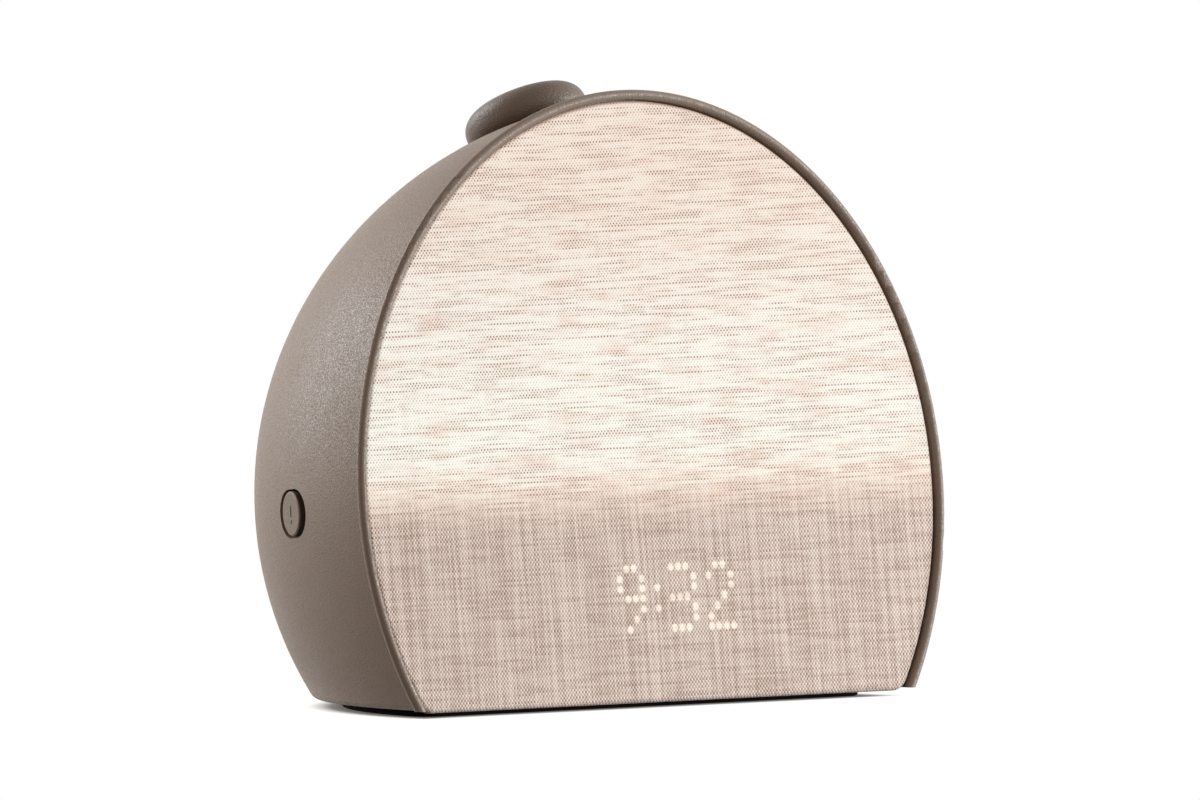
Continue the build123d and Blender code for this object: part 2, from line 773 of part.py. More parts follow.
def button_spring():
    """Coil spring between the well's floor and the top of the button's pocket."""
    low = -well_depth + spring_wire / 2
    high = button_rise - button_thickness / 2 + spring_pocket - spring_wire / 2
    height = high - low
    path = Helix(pitch=height / spring_turns, height=height, radius=spring_radius)
    section = Plane(origin=path @ 0, z_dir=path % 0) * RegularPolygon(spring_wire / 2, 6)
    return Pos(0, 0, low) * sweep(section, path=path, is_frenet=True)


def switch_body(moving_radius, slide, top):
    """Switch with a round or oblong pocket round its moving pin."""
    width = max(switch_size, 2 * (moving_radius + switch_margin))
    body = Pos(0, 0, top) * Box(width, width + 2 * slide, switch_height, align=TOP)
    opening = 2 * (moving_radius + plunger_gap)
    pocket = Rot(0, 0, 90) * SlotOverall(opening + 2 * slide + slight, opening)
    return body - Pos(0, 0, top) * extrude(pocket, switch_floor - switch_height)


def button_plunger():
    """Plunger of the tactile switch, under the stem's tip."""
    return Pos(0, 0, stem_bottom) * Cylinder(plunger_radius, plunger_length, align=TOP)


def button_board():
    """Small board on the button's posts, with the switch in its middle."""
    board = Rectangle(2 * button_post_offset + switch_board_width, switch_board_width)
    board = Pos(0, 0, button_board_top - switch_board_thickness) * extrude(board, switch_board_thickness)
    return board - copies(clear_hole(through), button_points)


# ---------------------------------------------------------------- side toggles, on their own planes
def toggle():
    """Round knob on a slider that covers the slot, with a pin for the switch."""
    knob = Pos(0, 0, slider_top) * Cylinder(knob_radius, knob_rise - slider_top, align=BOTTOM)
    knob = fillet(knob.edges().group_by(Axis.Z)[-1], knob_edge)
    cover = slot_outline(slider_overlap, toggle_travel)
    slider = Pos(0, 0, slider_top) * extrude(cover, -slider_thickness)
    pin = Pos(0, 0, pin_bottom) * Cylinder(pin_radius, slider_top - pin_bottom, align=BOTTOM)
    return knob + slider + pin


def toggle_guide():
    """Plate screwed to the posts behind the slider."""
    plate = Rectangle(2 * (guide_post_offset + guide_post_radius), guide_length)
    plate = Pos(0, 0, guide_bottom) * extrude(fillet(plate.vertices(), guide_post_radius), guide_thickness)
    opening = 2 * (pin_radius + running_gap)
    way = Rot(0, 0, 90) * SlotOverall(opening + 2 * toggle_travel, opening)
    plate = plate - Pos(0, 0, guide_bottom) * extrude(way, guide_thickness)
    return plate - copies(clear_hole(through), guide_points)


def toggle_board():
    """Small board behind a toggle's switch."""
    board = Rectangle(switch_board_width, switch_board_width + 2 * toggle_travel + 2 * switch_margin)
    bottom = guide_bottom - switch_height - switch_board_thickness
    return Pos(0, 0, bottom) * extrude(board, switch_board_thickness)


# ---------------------------------------------------------------- speaker, z going in from the rear panel
def speaker_gasket():
    """Foam ring between the panel and the driver."""
    return Cylinder(speaker_body_radius, gasket_thickness, align=BOTTOM) - Cylinder(speaker_opening, reach)


def speaker_basket():
    """Steel basket: flange with screw holes, open conical frame and back ring."""
    start = speaker_seat + speaker_flange_thickness
    end = start + speaker_depth
    flange = Pos(0, 0, speaker_seat) * Cylinder(speaker_flange_radius, speaker_flange_thickness, align=BOTTOM)
    neck = speaker_neck_radius - speaker_wall
    outer = Cone(speaker_body_radius + speaker_wall, speaker_neck_radius, speaker_depth, align=BOTTOM)
    inner = Cone(speaker_body_radius, neck, speaker_depth, align=BOTTOM)
    back = Cylinder(speaker_neck_radius + speaker_wall, speaker_flange_thickness, align=BOTTOM)
    flange = flange - Cylinder(speaker_opening, reach)
    basket = flange + Pos(0, 0, start) * (outer - inner) + Pos(0, 0, end) * back
    basket = basket - Cylinder(cone_neck_radius + speaker_wall, reach)
    window = Pos(0, 0, start + speaker_depth / 2) * Box(reach, speaker_window, speaker_depth * 0.6)
    basket = basket - window - Rot(0, 0, 90) * window
    return basket - copies(clear_hole(reach), speaker_points)


def speaker_surround():
    """Rubber roll that carries the cone in the basket."""
    lip = Pos(0, 0, gasket_thickness) * Cylinder(speaker_body_radius, surround_thickness, align=BOTTOM)
    roll_circle = speaker_opening - surround_roll
    lip = lip - Cylinder(roll_circle + surround_roll - surround_thickness, reach)
    roll = Torus(roll_circle, surround_roll) - Torus(roll_circle, surround_roll - surround_thickness)
    roll = roll & Cylinder(reach, reach, align=BOTTOM)
    return lip + Pos(0, 0, gasket_thickness) * roll


def speaker_cone():
    """Paper cone with its dust cap."""
    rim = speaker_opening - 2 * surround_roll
    depth = speaker_depth * 0.6
    outer = Cone(rim, cone_neck_radius, depth, align=BOTTOM)
    inner = Cone(rim - cone_thickness, cone_neck_radius - cone_thickness, depth, align=BOTTOM)
    cap_height = 0.4 * cone_neck_radius
    cap = Pos(0, 0, depth - cap_height) * Cylinder(cone_neck_radius, cap_height, align=BOTTOM)
    return Pos(0, 0, gasket_thickness + surround_thickness) * (outer - inner + cap)


def speaker_magnet():
    """Ring magnet and back plate behind the basket."""
    start = speaker_seat + 2 * speaker_flange_thickness + speaker_depth
    radius = speaker_body_radius - magnet_inset
    magnet = Pos(0, 0, start) * Cylinder(radius, magnet_length, align=BOTTOM)
    return fillet(magnet.edges().group_by(Axis.Z)[-1], speaker_wall)


def speaker_screws():
    """Four pan head screws through the basket's flange."""
    head = speaker_seat + speaker_flange_thickness
    return group(copies(pan_screw(speaker_flange_thickness + speaker_screw_grip), speaker_points, head))


# ---------------------------------------------------------------- rear panel
def grille():
    """Rows of round-ended slots in a circle, parted by a rib down the middle."""
    rows = int((grille_radius - grille_slot) / grille_pitch)
    slots = Sketch()
    for row in range(-rows, rows + 1):
        v = row * grille_pitch
        length = sqrt(grille_radius ** 2 - v ** 2) - grille_rib / 2
        for side in (-1, 1):
            middle = side * (grille_rib + length) / 2
            slots = slots + Pos(middle, v) * SlotOverall(length, grille_slot)
    return slots


def shelf_top():
    """Underside of the inlet's board, as a v value."""
    return -inlet_down - inlet_height / 2 - inlet_board_thickness


def inlet_points():
    """Screws of the inlet's board: two beside the middle, near its inner edge."""
    w = rear_seat + inlet_pad_thickness + inlet_board_length - pan_head_radius - 1
    return [(-inlet_width / 2, w), (inlet_width / 2, w)]


def shelf_screws(part, v):
    """Copies of a part at the inlet board's screws, its z axis up the face."""
    return [Pos(x, v, w) * Rot(-90, 0, 0) * part for x, w in inlet_points()]


def rear_panel():
    """Round rear panel: speaker grille, recess for the power plug and a shelf for its board."""
    panel = disc(rear_panel_radius, rear_seat, rear_face)
    panel = chamfer(panel.edges().group_by(Axis.Z)[0], part_gap)
    pad = Box(inlet_pad_width, inlet_pad_height, inlet_pad_thickness, align=BOTTOM)
    panel = panel + Pos(0, -inlet_down, rear_seat) * pad
    shelf_length = inlet_pad_thickness + inlet_board_length
    under = (Align.CENTER, Align.MAX, Align.MIN)
    shelf = Box(inlet_board_width + shelf_thickness, shelf_thickness, shelf_length, align=under)
    panel = panel + Pos(0, shelf_top(), rear_seat) * shelf
    post = Cylinder(speaker_post_radius, speaker_seat, align=BOTTOM)
    panel = panel + speaker_axis * group(copies(post, speaker_points))
    panel = panel - Pos(0, speaker_up, rear_face) * extrude(grille(), rear_panel_thickness)
    recess = RectangleRounded(inlet_recess_width, inlet_recess_height, inlet_recess_corner)
    panel = panel - Pos(0, -inlet_down, rear_face) * extrude(recess, inlet_recess_depth)
    mouth = SlotOverall(inlet_width + part_gap, inlet_height + part_gap)
    panel = panel - Pos(0, -inlet_down, rear_face) * extrude(mouth, through)
    panel = panel - copies(flat_hole(through), rear_points, rear_face, 180)
    holes = copies(pilot(speaker_screw_grip + pilot_spare / 2), speaker_points, speaker_seat)
    panel = panel - speaker_axis * group(holes)
    return panel - shelf_screws(pilot(shelf_thickness), shelf_top())


def inlet_socket():
    """Steel shell of the power socket, open to the back."""
    mouth = rear_face + inlet_recess_depth + inlet_set_back
    outside = SlotOverall(inlet_width, inlet_height)
    inside = SlotOverall(inlet_width - 2 * inlet_shell, inlet_height - 2 * inlet_shell)
    socket = extrude(outside, inlet_length) - extrude(inside, inlet_length - inlet_shell)
    return Pos(0, -inlet_down, mouth) * socket


def inlet_contacts():
    """Plastic tongue with the contacts, inside the socket's shell."""
    mouth = rear_face + inlet_recess_depth + inlet_set_back
    width = inlet_width - inlet_height + inlet_tongue
    tongue = Box(width, inlet_tongue, inlet_length - inlet_tongue_set_back, align=BOTTOM)
    end = inlet_length - inlet_shell
    return Pos(0, -inlet_down, mouth + end) * Rot(180, 0, 0) * tongue


def inlet_board():
    """Board under the power socket, on the shelf."""
    upon = (Align.CENTER, Align.MIN, Align.MIN)
    block = Box(inlet_board_width, inlet_board_thickness, inlet_board_length, align=upon)
    board = Pos(0, shelf_top(), rear_seat + inlet_pad_thickness) * block
    return board - shelf_screws(clear_hole(through), shelf_top())


def inlet_screws():
    """Two screws that hold the inlet's board on its shelf."""
    top = shelf_top() + inlet_board_thickness
    return group(shelf_screws(pan_screw(inlet_board_thickness + shelf_thickness - slight), top))


# ---------------------------------------------------------------- main board
def main_board():
    """Main circuit board on the base plate's posts."""
    board = Pos(0, main_board_y) * RectangleRounded(main_board_width, main_board_length, board_corner)
    board = Pos(0, 0, board_bottom) * extrude(board, main_board_thickness)
    return board - copies(clear_hole(reach), board_points)


def on_board(part, x, y):
    """Part standing on the main board, placed from the board's middle."""
    return Pos(x, main_board_y + y, board_top) * part


def board_chips():
    """Processor between the sound amplifier and the light driver, with its memory behind it."""
    processor = Box(processor_size, processor_size, processor_height, align=BOTTOM)
    driver = Box(driver_size, driver_size, driver_height, align=BOTTOM)
    memory = Box(memory_size, memory_size, memory_height, align=BOTTOM)
    aside = (processor_size + driver_size) / 2 + driver_gap
    behind = (processor_size + memory_size) / 2 + board_part_gap
    y = board_margin + socket_length + board_part_gap + processor_size / 2 - main_board_length / 2
    chips = [on_board(processor, 0, y), on_board(memory, 0, y + behind)]
    return group(chips + [on_board(driver, x, y) for x in (-aside, aside)])


def wireless_module():
    """Radio module under its screening can, at the back on the left."""
    can = Box(module_width, module_length, module_height, align=BOTTOM)
    can = fillet(can.edges().filter_by(Axis.Z), module_corner)
    x = board_post_radius + board_part_gap + module_width / 2 - post_x
    return on_board(can, x, main_board_length / 2 - board_margin - module_length / 2)


def board_capacitors():
    """Upright capacitors of the power supply, at the back on the right."""
    can = Cylinder(capacitor_radius, capacitor_height, align=BOTTOM)
    can = chamfer(can.edges().group_by(Axis.Z)[-1], capacitor_radius / 8)
    x = post_x - board_post_radius - board_part_gap - capacitor_radius
    y = main_board_length / 2 - board_margin - capacitor_radius
    pitch = 2 * capacitor_radius + board_part_gap
    return group([on_board(can, x - place * pitch, y) for place in (0, 1)])


def board_sockets():
    """Sockets for the leads to the display, the light, the speaker and the controls."""
    socket = Box(socket_width, socket_length, socket_height, align=BOTTOM)
    y = board_margin + socket_length / 2 - main_board_length / 2
    return group([on_board(socket, (place - 1.5) * socket_pitch, y) for place in range(4)])


# ---------------------------------------------------------------- write every node
save(dome_shell(), "dome_shell")
save(base_plate(), "base_plate")
save(group(copies(flat_screw(base_screw_length), base_points(), foot_height, 180)), "base_screws")
save(foot_pad(), "foot_pad")

save(on_face(fabric_cover()), "fabric_cover")
save(on_face(front_frame()), "front_frame")
frame_screw_length = lug_thickness + frame_screw_grip
save(on_face(group(copies(pan_screw(frame_screw_length), lug_points, lug_back, 180))), "frame_screws")

save(on_face(light_diffuser()), "light_diffuser")
save(on_face(light_tray()), "light_tray")
save(on_face(light_board()), "light_board")
save(on_face(light_leds()), "light_leds")

save(on_face(display_mask()), "display_mask")
save(on_face(display_board()), "display_board")
save(on_face(display_leds()), "display_leds")
display_back = mask_back - display_board_thickness
display_screws = group(copies(pan_screw(display_screw_length), display_points, display_back, 180))
save(on_face(display_middle * display_screws), "display_screws")

on_button = face.location * button_plane.location
button_screw = pan_screw(switch_board_thickness + button_screw_grip)
button_screws = copies(button_screw, button_points, button_board_top - switch_board_thickness, 180)
save(on_button * top_button(), "top_button")
save(on_button * button_clip(), "button_clip")
save(on_button * button_plunger(), "button_plunger")
save(on_button * button_spring(), "button_spring")
save(on_button * switch_body(plunger_radius, 0, button_switch_top), "button_switch")
save(on_button * button_board(), "button_board")
save(on_button * group(button_screws), "button_screws")

for side, plane in toggle_planes.items():
    on_side = face.location * plane.location
    guide_screws = copies(pan_screw(guide_thickness + guide_screw_grip), guide_points, guide_bottom, 180)
    save(on_side * toggle(), f"{side}_toggle")
    save(on_side * toggle_guide(), f"{side}_toggle_guide")
    save(on_side * group(guide_screws), f"{side}_guide_screws")
    save(on_side * switch_body(pin_radius, toggle_travel, guide_bottom), f"{side}_switch")
    save(on_side * toggle_board(), f"{side}_switch_board")

save(on_face(rear_panel()), "rear_panel")
rear_screws = group(copies(flat_screw(rear_screw_length), rear_points, rear_face, 180))
save(on_face(rear_screws), "rear_screws")
save(on_face(speaker_axis * speaker_gasket()), "speaker_gasket")
save(on_face(speaker_axis * speaker_basket()), "speaker_basket")
save(on_face(speaker_axis * speaker_surround()), "speaker_surround")
save(on_face(speaker_axis * speaker_cone()), "speaker_cone")
save(on_face(speaker_axis * speaker_magnet()), "speaker_magnet")
save(on_face(speaker_axis * speaker_screws()), "speaker_screws")
save(on_face(inlet_socket()), "inlet_socket")
save(on_face(inlet_contacts()), "inlet_contacts")
save(on_face(inlet_board()), "inlet_board")
save(on_face(inlet_screws()), "inlet_screws")

save(main_board(), "main_board")
board_screw = pan_screw(main_board_thickness + board_screw_grip)
save(group(copies(board_screw, board_points, board_top)), "board_screws")
save(board_chips(), "board_chips")
save(wireless_module(), "wireless_module")
save(board_capacitors(), "board_capacitors")
save(board_sockets(), "board_sockets")
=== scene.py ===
# %% [markdown]
# # A leaning dome clock with a linen face
# A bedside clock that wakes with light: a moulded dome, a flat linen front with a lamp behind its
# upper half, time dots behind its lower half, and a pebble of a button on top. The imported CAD
# model is the frame. It could be rebuilt from nothing here, but its hard shells are already exact,
# so they stay and get their finishes. Only the cloth, the button's spring and the small raised marks
# on the side knobs are made anew.

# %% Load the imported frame
import bmesh
import bpy
import json
from math import acos, cos, pi, radians, sin, sqrt
from mathutils import Matrix, Vector

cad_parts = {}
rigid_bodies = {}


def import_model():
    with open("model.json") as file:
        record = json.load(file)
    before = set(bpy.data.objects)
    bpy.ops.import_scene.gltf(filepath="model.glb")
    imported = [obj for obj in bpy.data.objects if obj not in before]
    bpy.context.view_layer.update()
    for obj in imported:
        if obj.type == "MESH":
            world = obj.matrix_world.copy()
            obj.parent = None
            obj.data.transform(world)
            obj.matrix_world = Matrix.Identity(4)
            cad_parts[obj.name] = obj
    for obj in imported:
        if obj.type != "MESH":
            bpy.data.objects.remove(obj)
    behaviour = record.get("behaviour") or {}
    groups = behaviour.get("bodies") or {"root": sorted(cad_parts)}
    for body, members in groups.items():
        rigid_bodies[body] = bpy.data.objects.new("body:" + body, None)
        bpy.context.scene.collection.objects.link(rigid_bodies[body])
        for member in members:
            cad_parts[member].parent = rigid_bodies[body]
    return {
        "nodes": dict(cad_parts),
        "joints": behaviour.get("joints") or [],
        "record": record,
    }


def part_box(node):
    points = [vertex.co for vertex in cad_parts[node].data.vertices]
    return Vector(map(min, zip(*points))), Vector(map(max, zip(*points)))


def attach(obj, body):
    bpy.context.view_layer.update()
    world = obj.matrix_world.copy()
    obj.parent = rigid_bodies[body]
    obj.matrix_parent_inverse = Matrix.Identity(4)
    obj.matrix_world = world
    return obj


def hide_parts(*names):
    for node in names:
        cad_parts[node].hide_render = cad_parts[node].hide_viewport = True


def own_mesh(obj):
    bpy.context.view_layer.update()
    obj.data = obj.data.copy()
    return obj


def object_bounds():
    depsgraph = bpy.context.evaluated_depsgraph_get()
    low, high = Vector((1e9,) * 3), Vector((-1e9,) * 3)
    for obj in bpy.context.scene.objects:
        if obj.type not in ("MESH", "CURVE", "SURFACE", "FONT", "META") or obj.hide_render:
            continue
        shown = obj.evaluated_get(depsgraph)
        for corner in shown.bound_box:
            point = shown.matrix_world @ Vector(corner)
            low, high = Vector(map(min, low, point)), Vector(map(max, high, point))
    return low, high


for leftover in list(bpy.data.objects):
    bpy.data.objects.remove(leftover)

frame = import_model()
cad_low, cad_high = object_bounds()
nodes = frame["nodes"]
joints = {joint["name"]: joint for joint in frame["joints"]}
mm = 0.001
cad_size = [round(side / mm, 1) for side in cad_high - cad_low]
print(len(nodes), "nodes and", len(joints), "joints, size in mm", cad_size)

# %% [markdown]
# ## The leaning face
# The cloth lies on the face, which leans back six degrees, and the other new pieces lean their own
# way. Each could be turned as an object, but a finished piece has its place in its mesh. So each is
# drawn flat, in coordinates of its own, and a matrix carries its points to the clock.

# %% Face coordinates
face_tilt = radians(6.0)
face_middle = Vector((0, -40.0, 53.5)) * mm
face_right = Vector((1, 0, 0))
face_up = Vector((0, sin(face_tilt), cos(face_tilt)))
face_out = Vector((0, -cos(face_tilt), sin(face_tilt)))


def placed(right, up, out, middle):
    """Matrix that carries a flat drawing to its place: x goes right, y goes up, z looks out."""
    place = Matrix((right, up, out)).transposed().to_4x4()
    place.translation = middle
    return place


def extent(points, direction):
    """How far points reach along a direction: the lowest and the highest value."""
    reaches = [point.dot(direction) for point in points]
    return min(reaches), max(reaches)


face = placed(face_right, face_up, face_out, face_middle)
print("face leans back", round(face_up.angle(Vector((0, 0, 1))) * 180 / pi, 2), "degrees")


# %% A mesh builder becomes an object
def new_piece(name, mesh_builder, place, body="housing"):
    """Put a flat-drawn shape in its place and give it to a body."""
    bmesh.ops.transform(mesh_builder, matrix=place, verts=mesh_builder.verts)
    mesh = bpy.data.meshes.new(name)
    mesh_builder.to_mesh(mesh)
    mesh_builder.free()
    piece = bpy.data.objects.new(name, mesh)
    bpy.context.scene.collection.objects.link(piece)
    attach(piece, body)
    print(f"{name}: {len(mesh.polygons)} faces")
    return piece


# %% [markdown]
# ## Camera
# A catalogue view is taken from so far away that level edges stay nearly parallel. A very long lens
# could do that, but an orthographic camera is simpler: its one number is the width that it sees. That
# width follows from how many millimetres of the clock one pixel of a 1200 pixel wide frame shows.

# %% Camera
view_yaw = radians(43.7)
view_height = radians(3.0)
camera_distance = 3.0
pixel = 0.2483 * mm
frame_width = 1200
frame_middle = Vector((-8.2, -30.5, 76.2)) * mm
level_part = Vector((-sin(view_yaw), -cos(view_yaw), 0)) * cos(view_height)
toward_camera = level_part + Vector((0, 0, sin(view_height)))

camera_data = bpy.data.cameras.new("camera")
camera_data.type = "ORTHO"
camera_data.ortho_scale = frame_width * pixel
camera_data.clip_end = 100
camera = bpy.data.objects.new("camera", camera_data)
bpy.context.scene.collection.objects.link(camera)
camera.location = frame_middle + toward_camera * camera_distance
camera.rotation_euler = toward_camera.to_track_quat("Z", "Y").to_euler()
bpy.context.scene.camera = camera
bpy.context.scene.view_settings.view_transform = "Standard"
print(f"camera sees {camera_data.ortho_scale / mm:.0f} mm")

# %% [markdown]
# ## Shader building blocks
# A material is a graph of small nodes. It could be wired in the editor; in a script, a few helpers
# keep the wiring readable: one adds a node, one does arithmetic, one blends colours, and the rest
# are short forms of what comes up again and again.


# %% Helpers for node graphs
def add_node(tree, kind, inputs=(), **settings):
    """Add a node, set its options, and connect or set its inputs by name or number."""
    made = tree.nodes.new(kind)
    for setting, value in settings.items():
        setattr(made, setting, value)
    for socket, value in dict(inputs).items():
        if isinstance(value, bpy.types.NodeSocket):
            tree.links.new(value, made.inputs[socket])
        else:
            made.inputs[socket].default_value = value
    return made


def calc(tree, operation, *values):
    """One Math node."""
    return add_node(tree, "ShaderNodeMath", enumerate(values), operation=operation).outputs[0]


def scaled(tree, value, factor, offset=None):
    """A value times a factor, plus an offset if there is one."""
    if offset is None:
        return calc(tree, "MULTIPLY", value, factor)
    return calc(tree, "MULTIPLY_ADD", value, factor, offset)


def vector_calc(tree, operation, output, *values):
    """One Vector Math node."""
    made = add_node(tree, "ShaderNodeVectorMath", enumerate(values), operation=operation)
    return made.outputs[output]


def blend(tree, share, first, second, mode="MIX"):
    """One colour Mix node."""
    mix = add_node(tree, "ShaderNodeMix", data_type="RGBA", blend_type=mode)
    for socket, value in ((mix.inputs[0], share), (mix.inputs[6], first), (mix.inputs[7], second)):
        if isinstance(value, bpy.types.NodeSocket):
            tree.links.new(value, socket)
        else:
            socket.default_value = value
    return mix.outputs[2]


def ramp(tree, value, start, end, low=0.0, high=1.0):
    """A smooth step from low to high as value goes from start to end."""
    made = add_node(tree, "ShaderNodeMapRange", {0: value, 1: start, 2: end, 3: low, 4: high},
                    interpolation_type="SMOOTHSTEP")
    return made.outputs[0]


def noise(tree, place, scale, detail=2.0, roughness=0.5):
    """Smooth noise between 0 and 1."""
    inputs = {"Vector": place, "Scale": scale, "Detail": detail, "Roughness": roughness}
    return add_node(tree, "ShaderNodeTexNoise", inputs).outputs[0]


def object_place(tree):
    """Object coordinates: metres in the clock's own frame."""
    return add_node(tree, "ShaderNodeTexCoord").outputs["Object"]


# %% Helpers for materials
white = (1, 1, 1, 1)
black = (0, 0, 0, 1)


def shade_of(colour, factor):
    """A darker or paler shade of a colour, with full alpha."""
    return [part * factor for part in colour] + [1]


def new_material(name):
    """An empty material with its surface shader."""
    material = bpy.data.materials.new(name)
    material.use_nodes = True
    shader = material.node_tree.nodes["Principled BSDF"]
    return material, material.node_tree, shader


def dress(node, material):
    """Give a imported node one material."""
    node.data.materials.clear()
    node.data.materials.append(material)


def bumped(tree, shader, height, depth, strength=1.0):
    """Let a height from 0 to 1 tilt the surface, as if it were that deep."""
    bump = add_node(tree, "ShaderNodeBump", {"Height": height, "Distance": depth, "Strength": strength})
    tree.links.new(bump.outputs[0], shader.inputs["Normal"])


print("helpers ready")

# %% [markdown]
# ## Moulded grain
# Good plastic housings come out of a spark-eroded mould with a fine leathery grain. It could be
# a displacement, but the grain is only about a tenth of a millimetre deep, so a bump does. One group
# makes the grain and a slow unevenness. The grain tilts the surface, and it also changes the
# roughness from facet to facet, which gives a highlight its sparkle.

# %% Grain group
coarse_scale = 1900.0
mottle_scale = 55.0
cell_share = 0.7
coarse_share = 0.6


def grain_group():
    """Node group: grain height and a slow mottling, both from about 0 to 1."""
    group = bpy.data.node_groups.new("moulded grain", "ShaderNodeTree")
    group.interface.new_socket("Place", in_out="INPUT", socket_type="NodeSocketVector")
    group.interface.new_socket("Grain Scale", in_out="INPUT", socket_type="NodeSocketFloat")
    for name in ("Height", "Mottle"):
        group.interface.new_socket(name, in_out="OUTPUT", socket_type="NodeSocketFloat")
    given = group.nodes.new("NodeGroupInput")
    result = group.nodes.new("NodeGroupOutput")

    place, grain_scale = given.outputs[:2]
    cell_inputs = {"Vector": place, "Scale": grain_scale}
    cells = add_node(group, "ShaderNodeTexVoronoi", cell_inputs, feature="SMOOTH_F1").outputs[0]
    coarse = noise(group, place, coarse_scale, detail=1.0)
    height = calc(group, "ADD", scaled(group, cells, cell_share), scaled(group, coarse, coarse_share))
    mottle = noise(group, place, mottle_scale, detail=4.0, roughness=0.6)
    group.links.new(height, result.inputs[0])
    group.links.new(mottle, result.inputs[1])
    return group


def grain_of(tree, grain_scale):
    """The grain group in a material: its height and its mottling."""
    grain = add_node(tree, "ShaderNodeGroup", {0: object_place(tree)}, node_tree=moulded_grain)
    grain.inputs[1].default_value = grain_scale
    return grain.outputs[:2]


moulded_grain = grain_group()
print(len(moulded_grain.nodes), "nodes in the grain")

# %% Moulded plastic
grain_middle = 0.6
grain_tint, mottle_tint = 0.6, 0.5
mottle_low, mottle_high = 0.2, 0.8
roughness_spread = 0.05


def plastic(name, colour, roughness, grain_scale, grain_depth, mottle=0.06, gloss=0.5, sparkle=0.0):
    """Grain in the bump, mottling in colour and roughness, sparkle from facet to facet."""
    material, tree, shader = new_material(name)
    height, slow = grain_of(tree, grain_scale)
    speck = calc(tree, "ADD", scaled(tree, height, grain_tint), scaled(tree, slow, mottle_tint))
    tint = blend(tree, speck, shade_of(colour, 1 - mottle), shade_of(colour, 1 + mottle))
    tree.links.new(tint, shader.inputs["Base Color"])
    smoothest, roughest = roughness - roughness_spread, roughness + roughness_spread
    rough = ramp(tree, slow, mottle_low, mottle_high, smoothest, roughest)
    facets = calc(tree, "SUBTRACT", height, grain_middle)
    tree.links.new(scaled(tree, facets, sparkle, rough), shader.inputs["Roughness"])
    shader.inputs["Specular IOR Level"].default_value = gloss
    bumped(tree, shader, height, grain_depth)
    return material


shell_colour = (0.228, 0.170, 0.132)
pebble_colour = shade_of(shell_colour, 0.67)[:3]
shell_plastic = plastic("taupe shell", shell_colour, roughness=0.53, grain_scale=2600,
                        grain_depth=0.08 * mm, mottle=0.20, gloss=0.36, sparkle=0.85)
pebble_plastic = plastic("taupe pebble", pebble_colour, roughness=0.46, grain_scale=2600,
                         grain_depth=0.16 * mm, mottle=0.20, gloss=0.36, sparkle=0.6)
print("shell and pebble plastics made")

# %% [markdown]
# ## Metals and the small plain parts inside
# What lies behind the grille and under the base is seen only in glimpses, but a bare grey part
# would still catch the eye. Each could get a picture, but a colour with the right unevenness does:
# plated metal has a fine uneven polish, and the rest the same moulded grain in its own colour.

# %% Metal
polish_scale = 1500.0
polish_dark = 0.85
streak_start, streak_end = 0.3, 0.7
smoother, rougher = 0.06, 0.08


def metal(name, colour, roughness):
    """Plated or painted metal with fine uneven polish."""
    material, tree, shader = new_material(name)
    streaks = noise(tree, object_place(tree), polish_scale, detail=3.0, roughness=0.6)
    tint = blend(tree, streaks, shade_of(colour, polish_dark), shade_of(colour, 1))
    tree.links.new(tint, shader.inputs["Base Color"])
    rough = ramp(tree, streaks, streak_start, streak_end, roughness - smoother, roughness + rougher)
    tree.links.new(rough, shader.inputs["Roughness"])
    shader.inputs["Metallic"].default_value = 1.0
    return material


steel = metal("spring steel", (0.50, 0.50, 0.52), 0.30)
print("spring steel made")

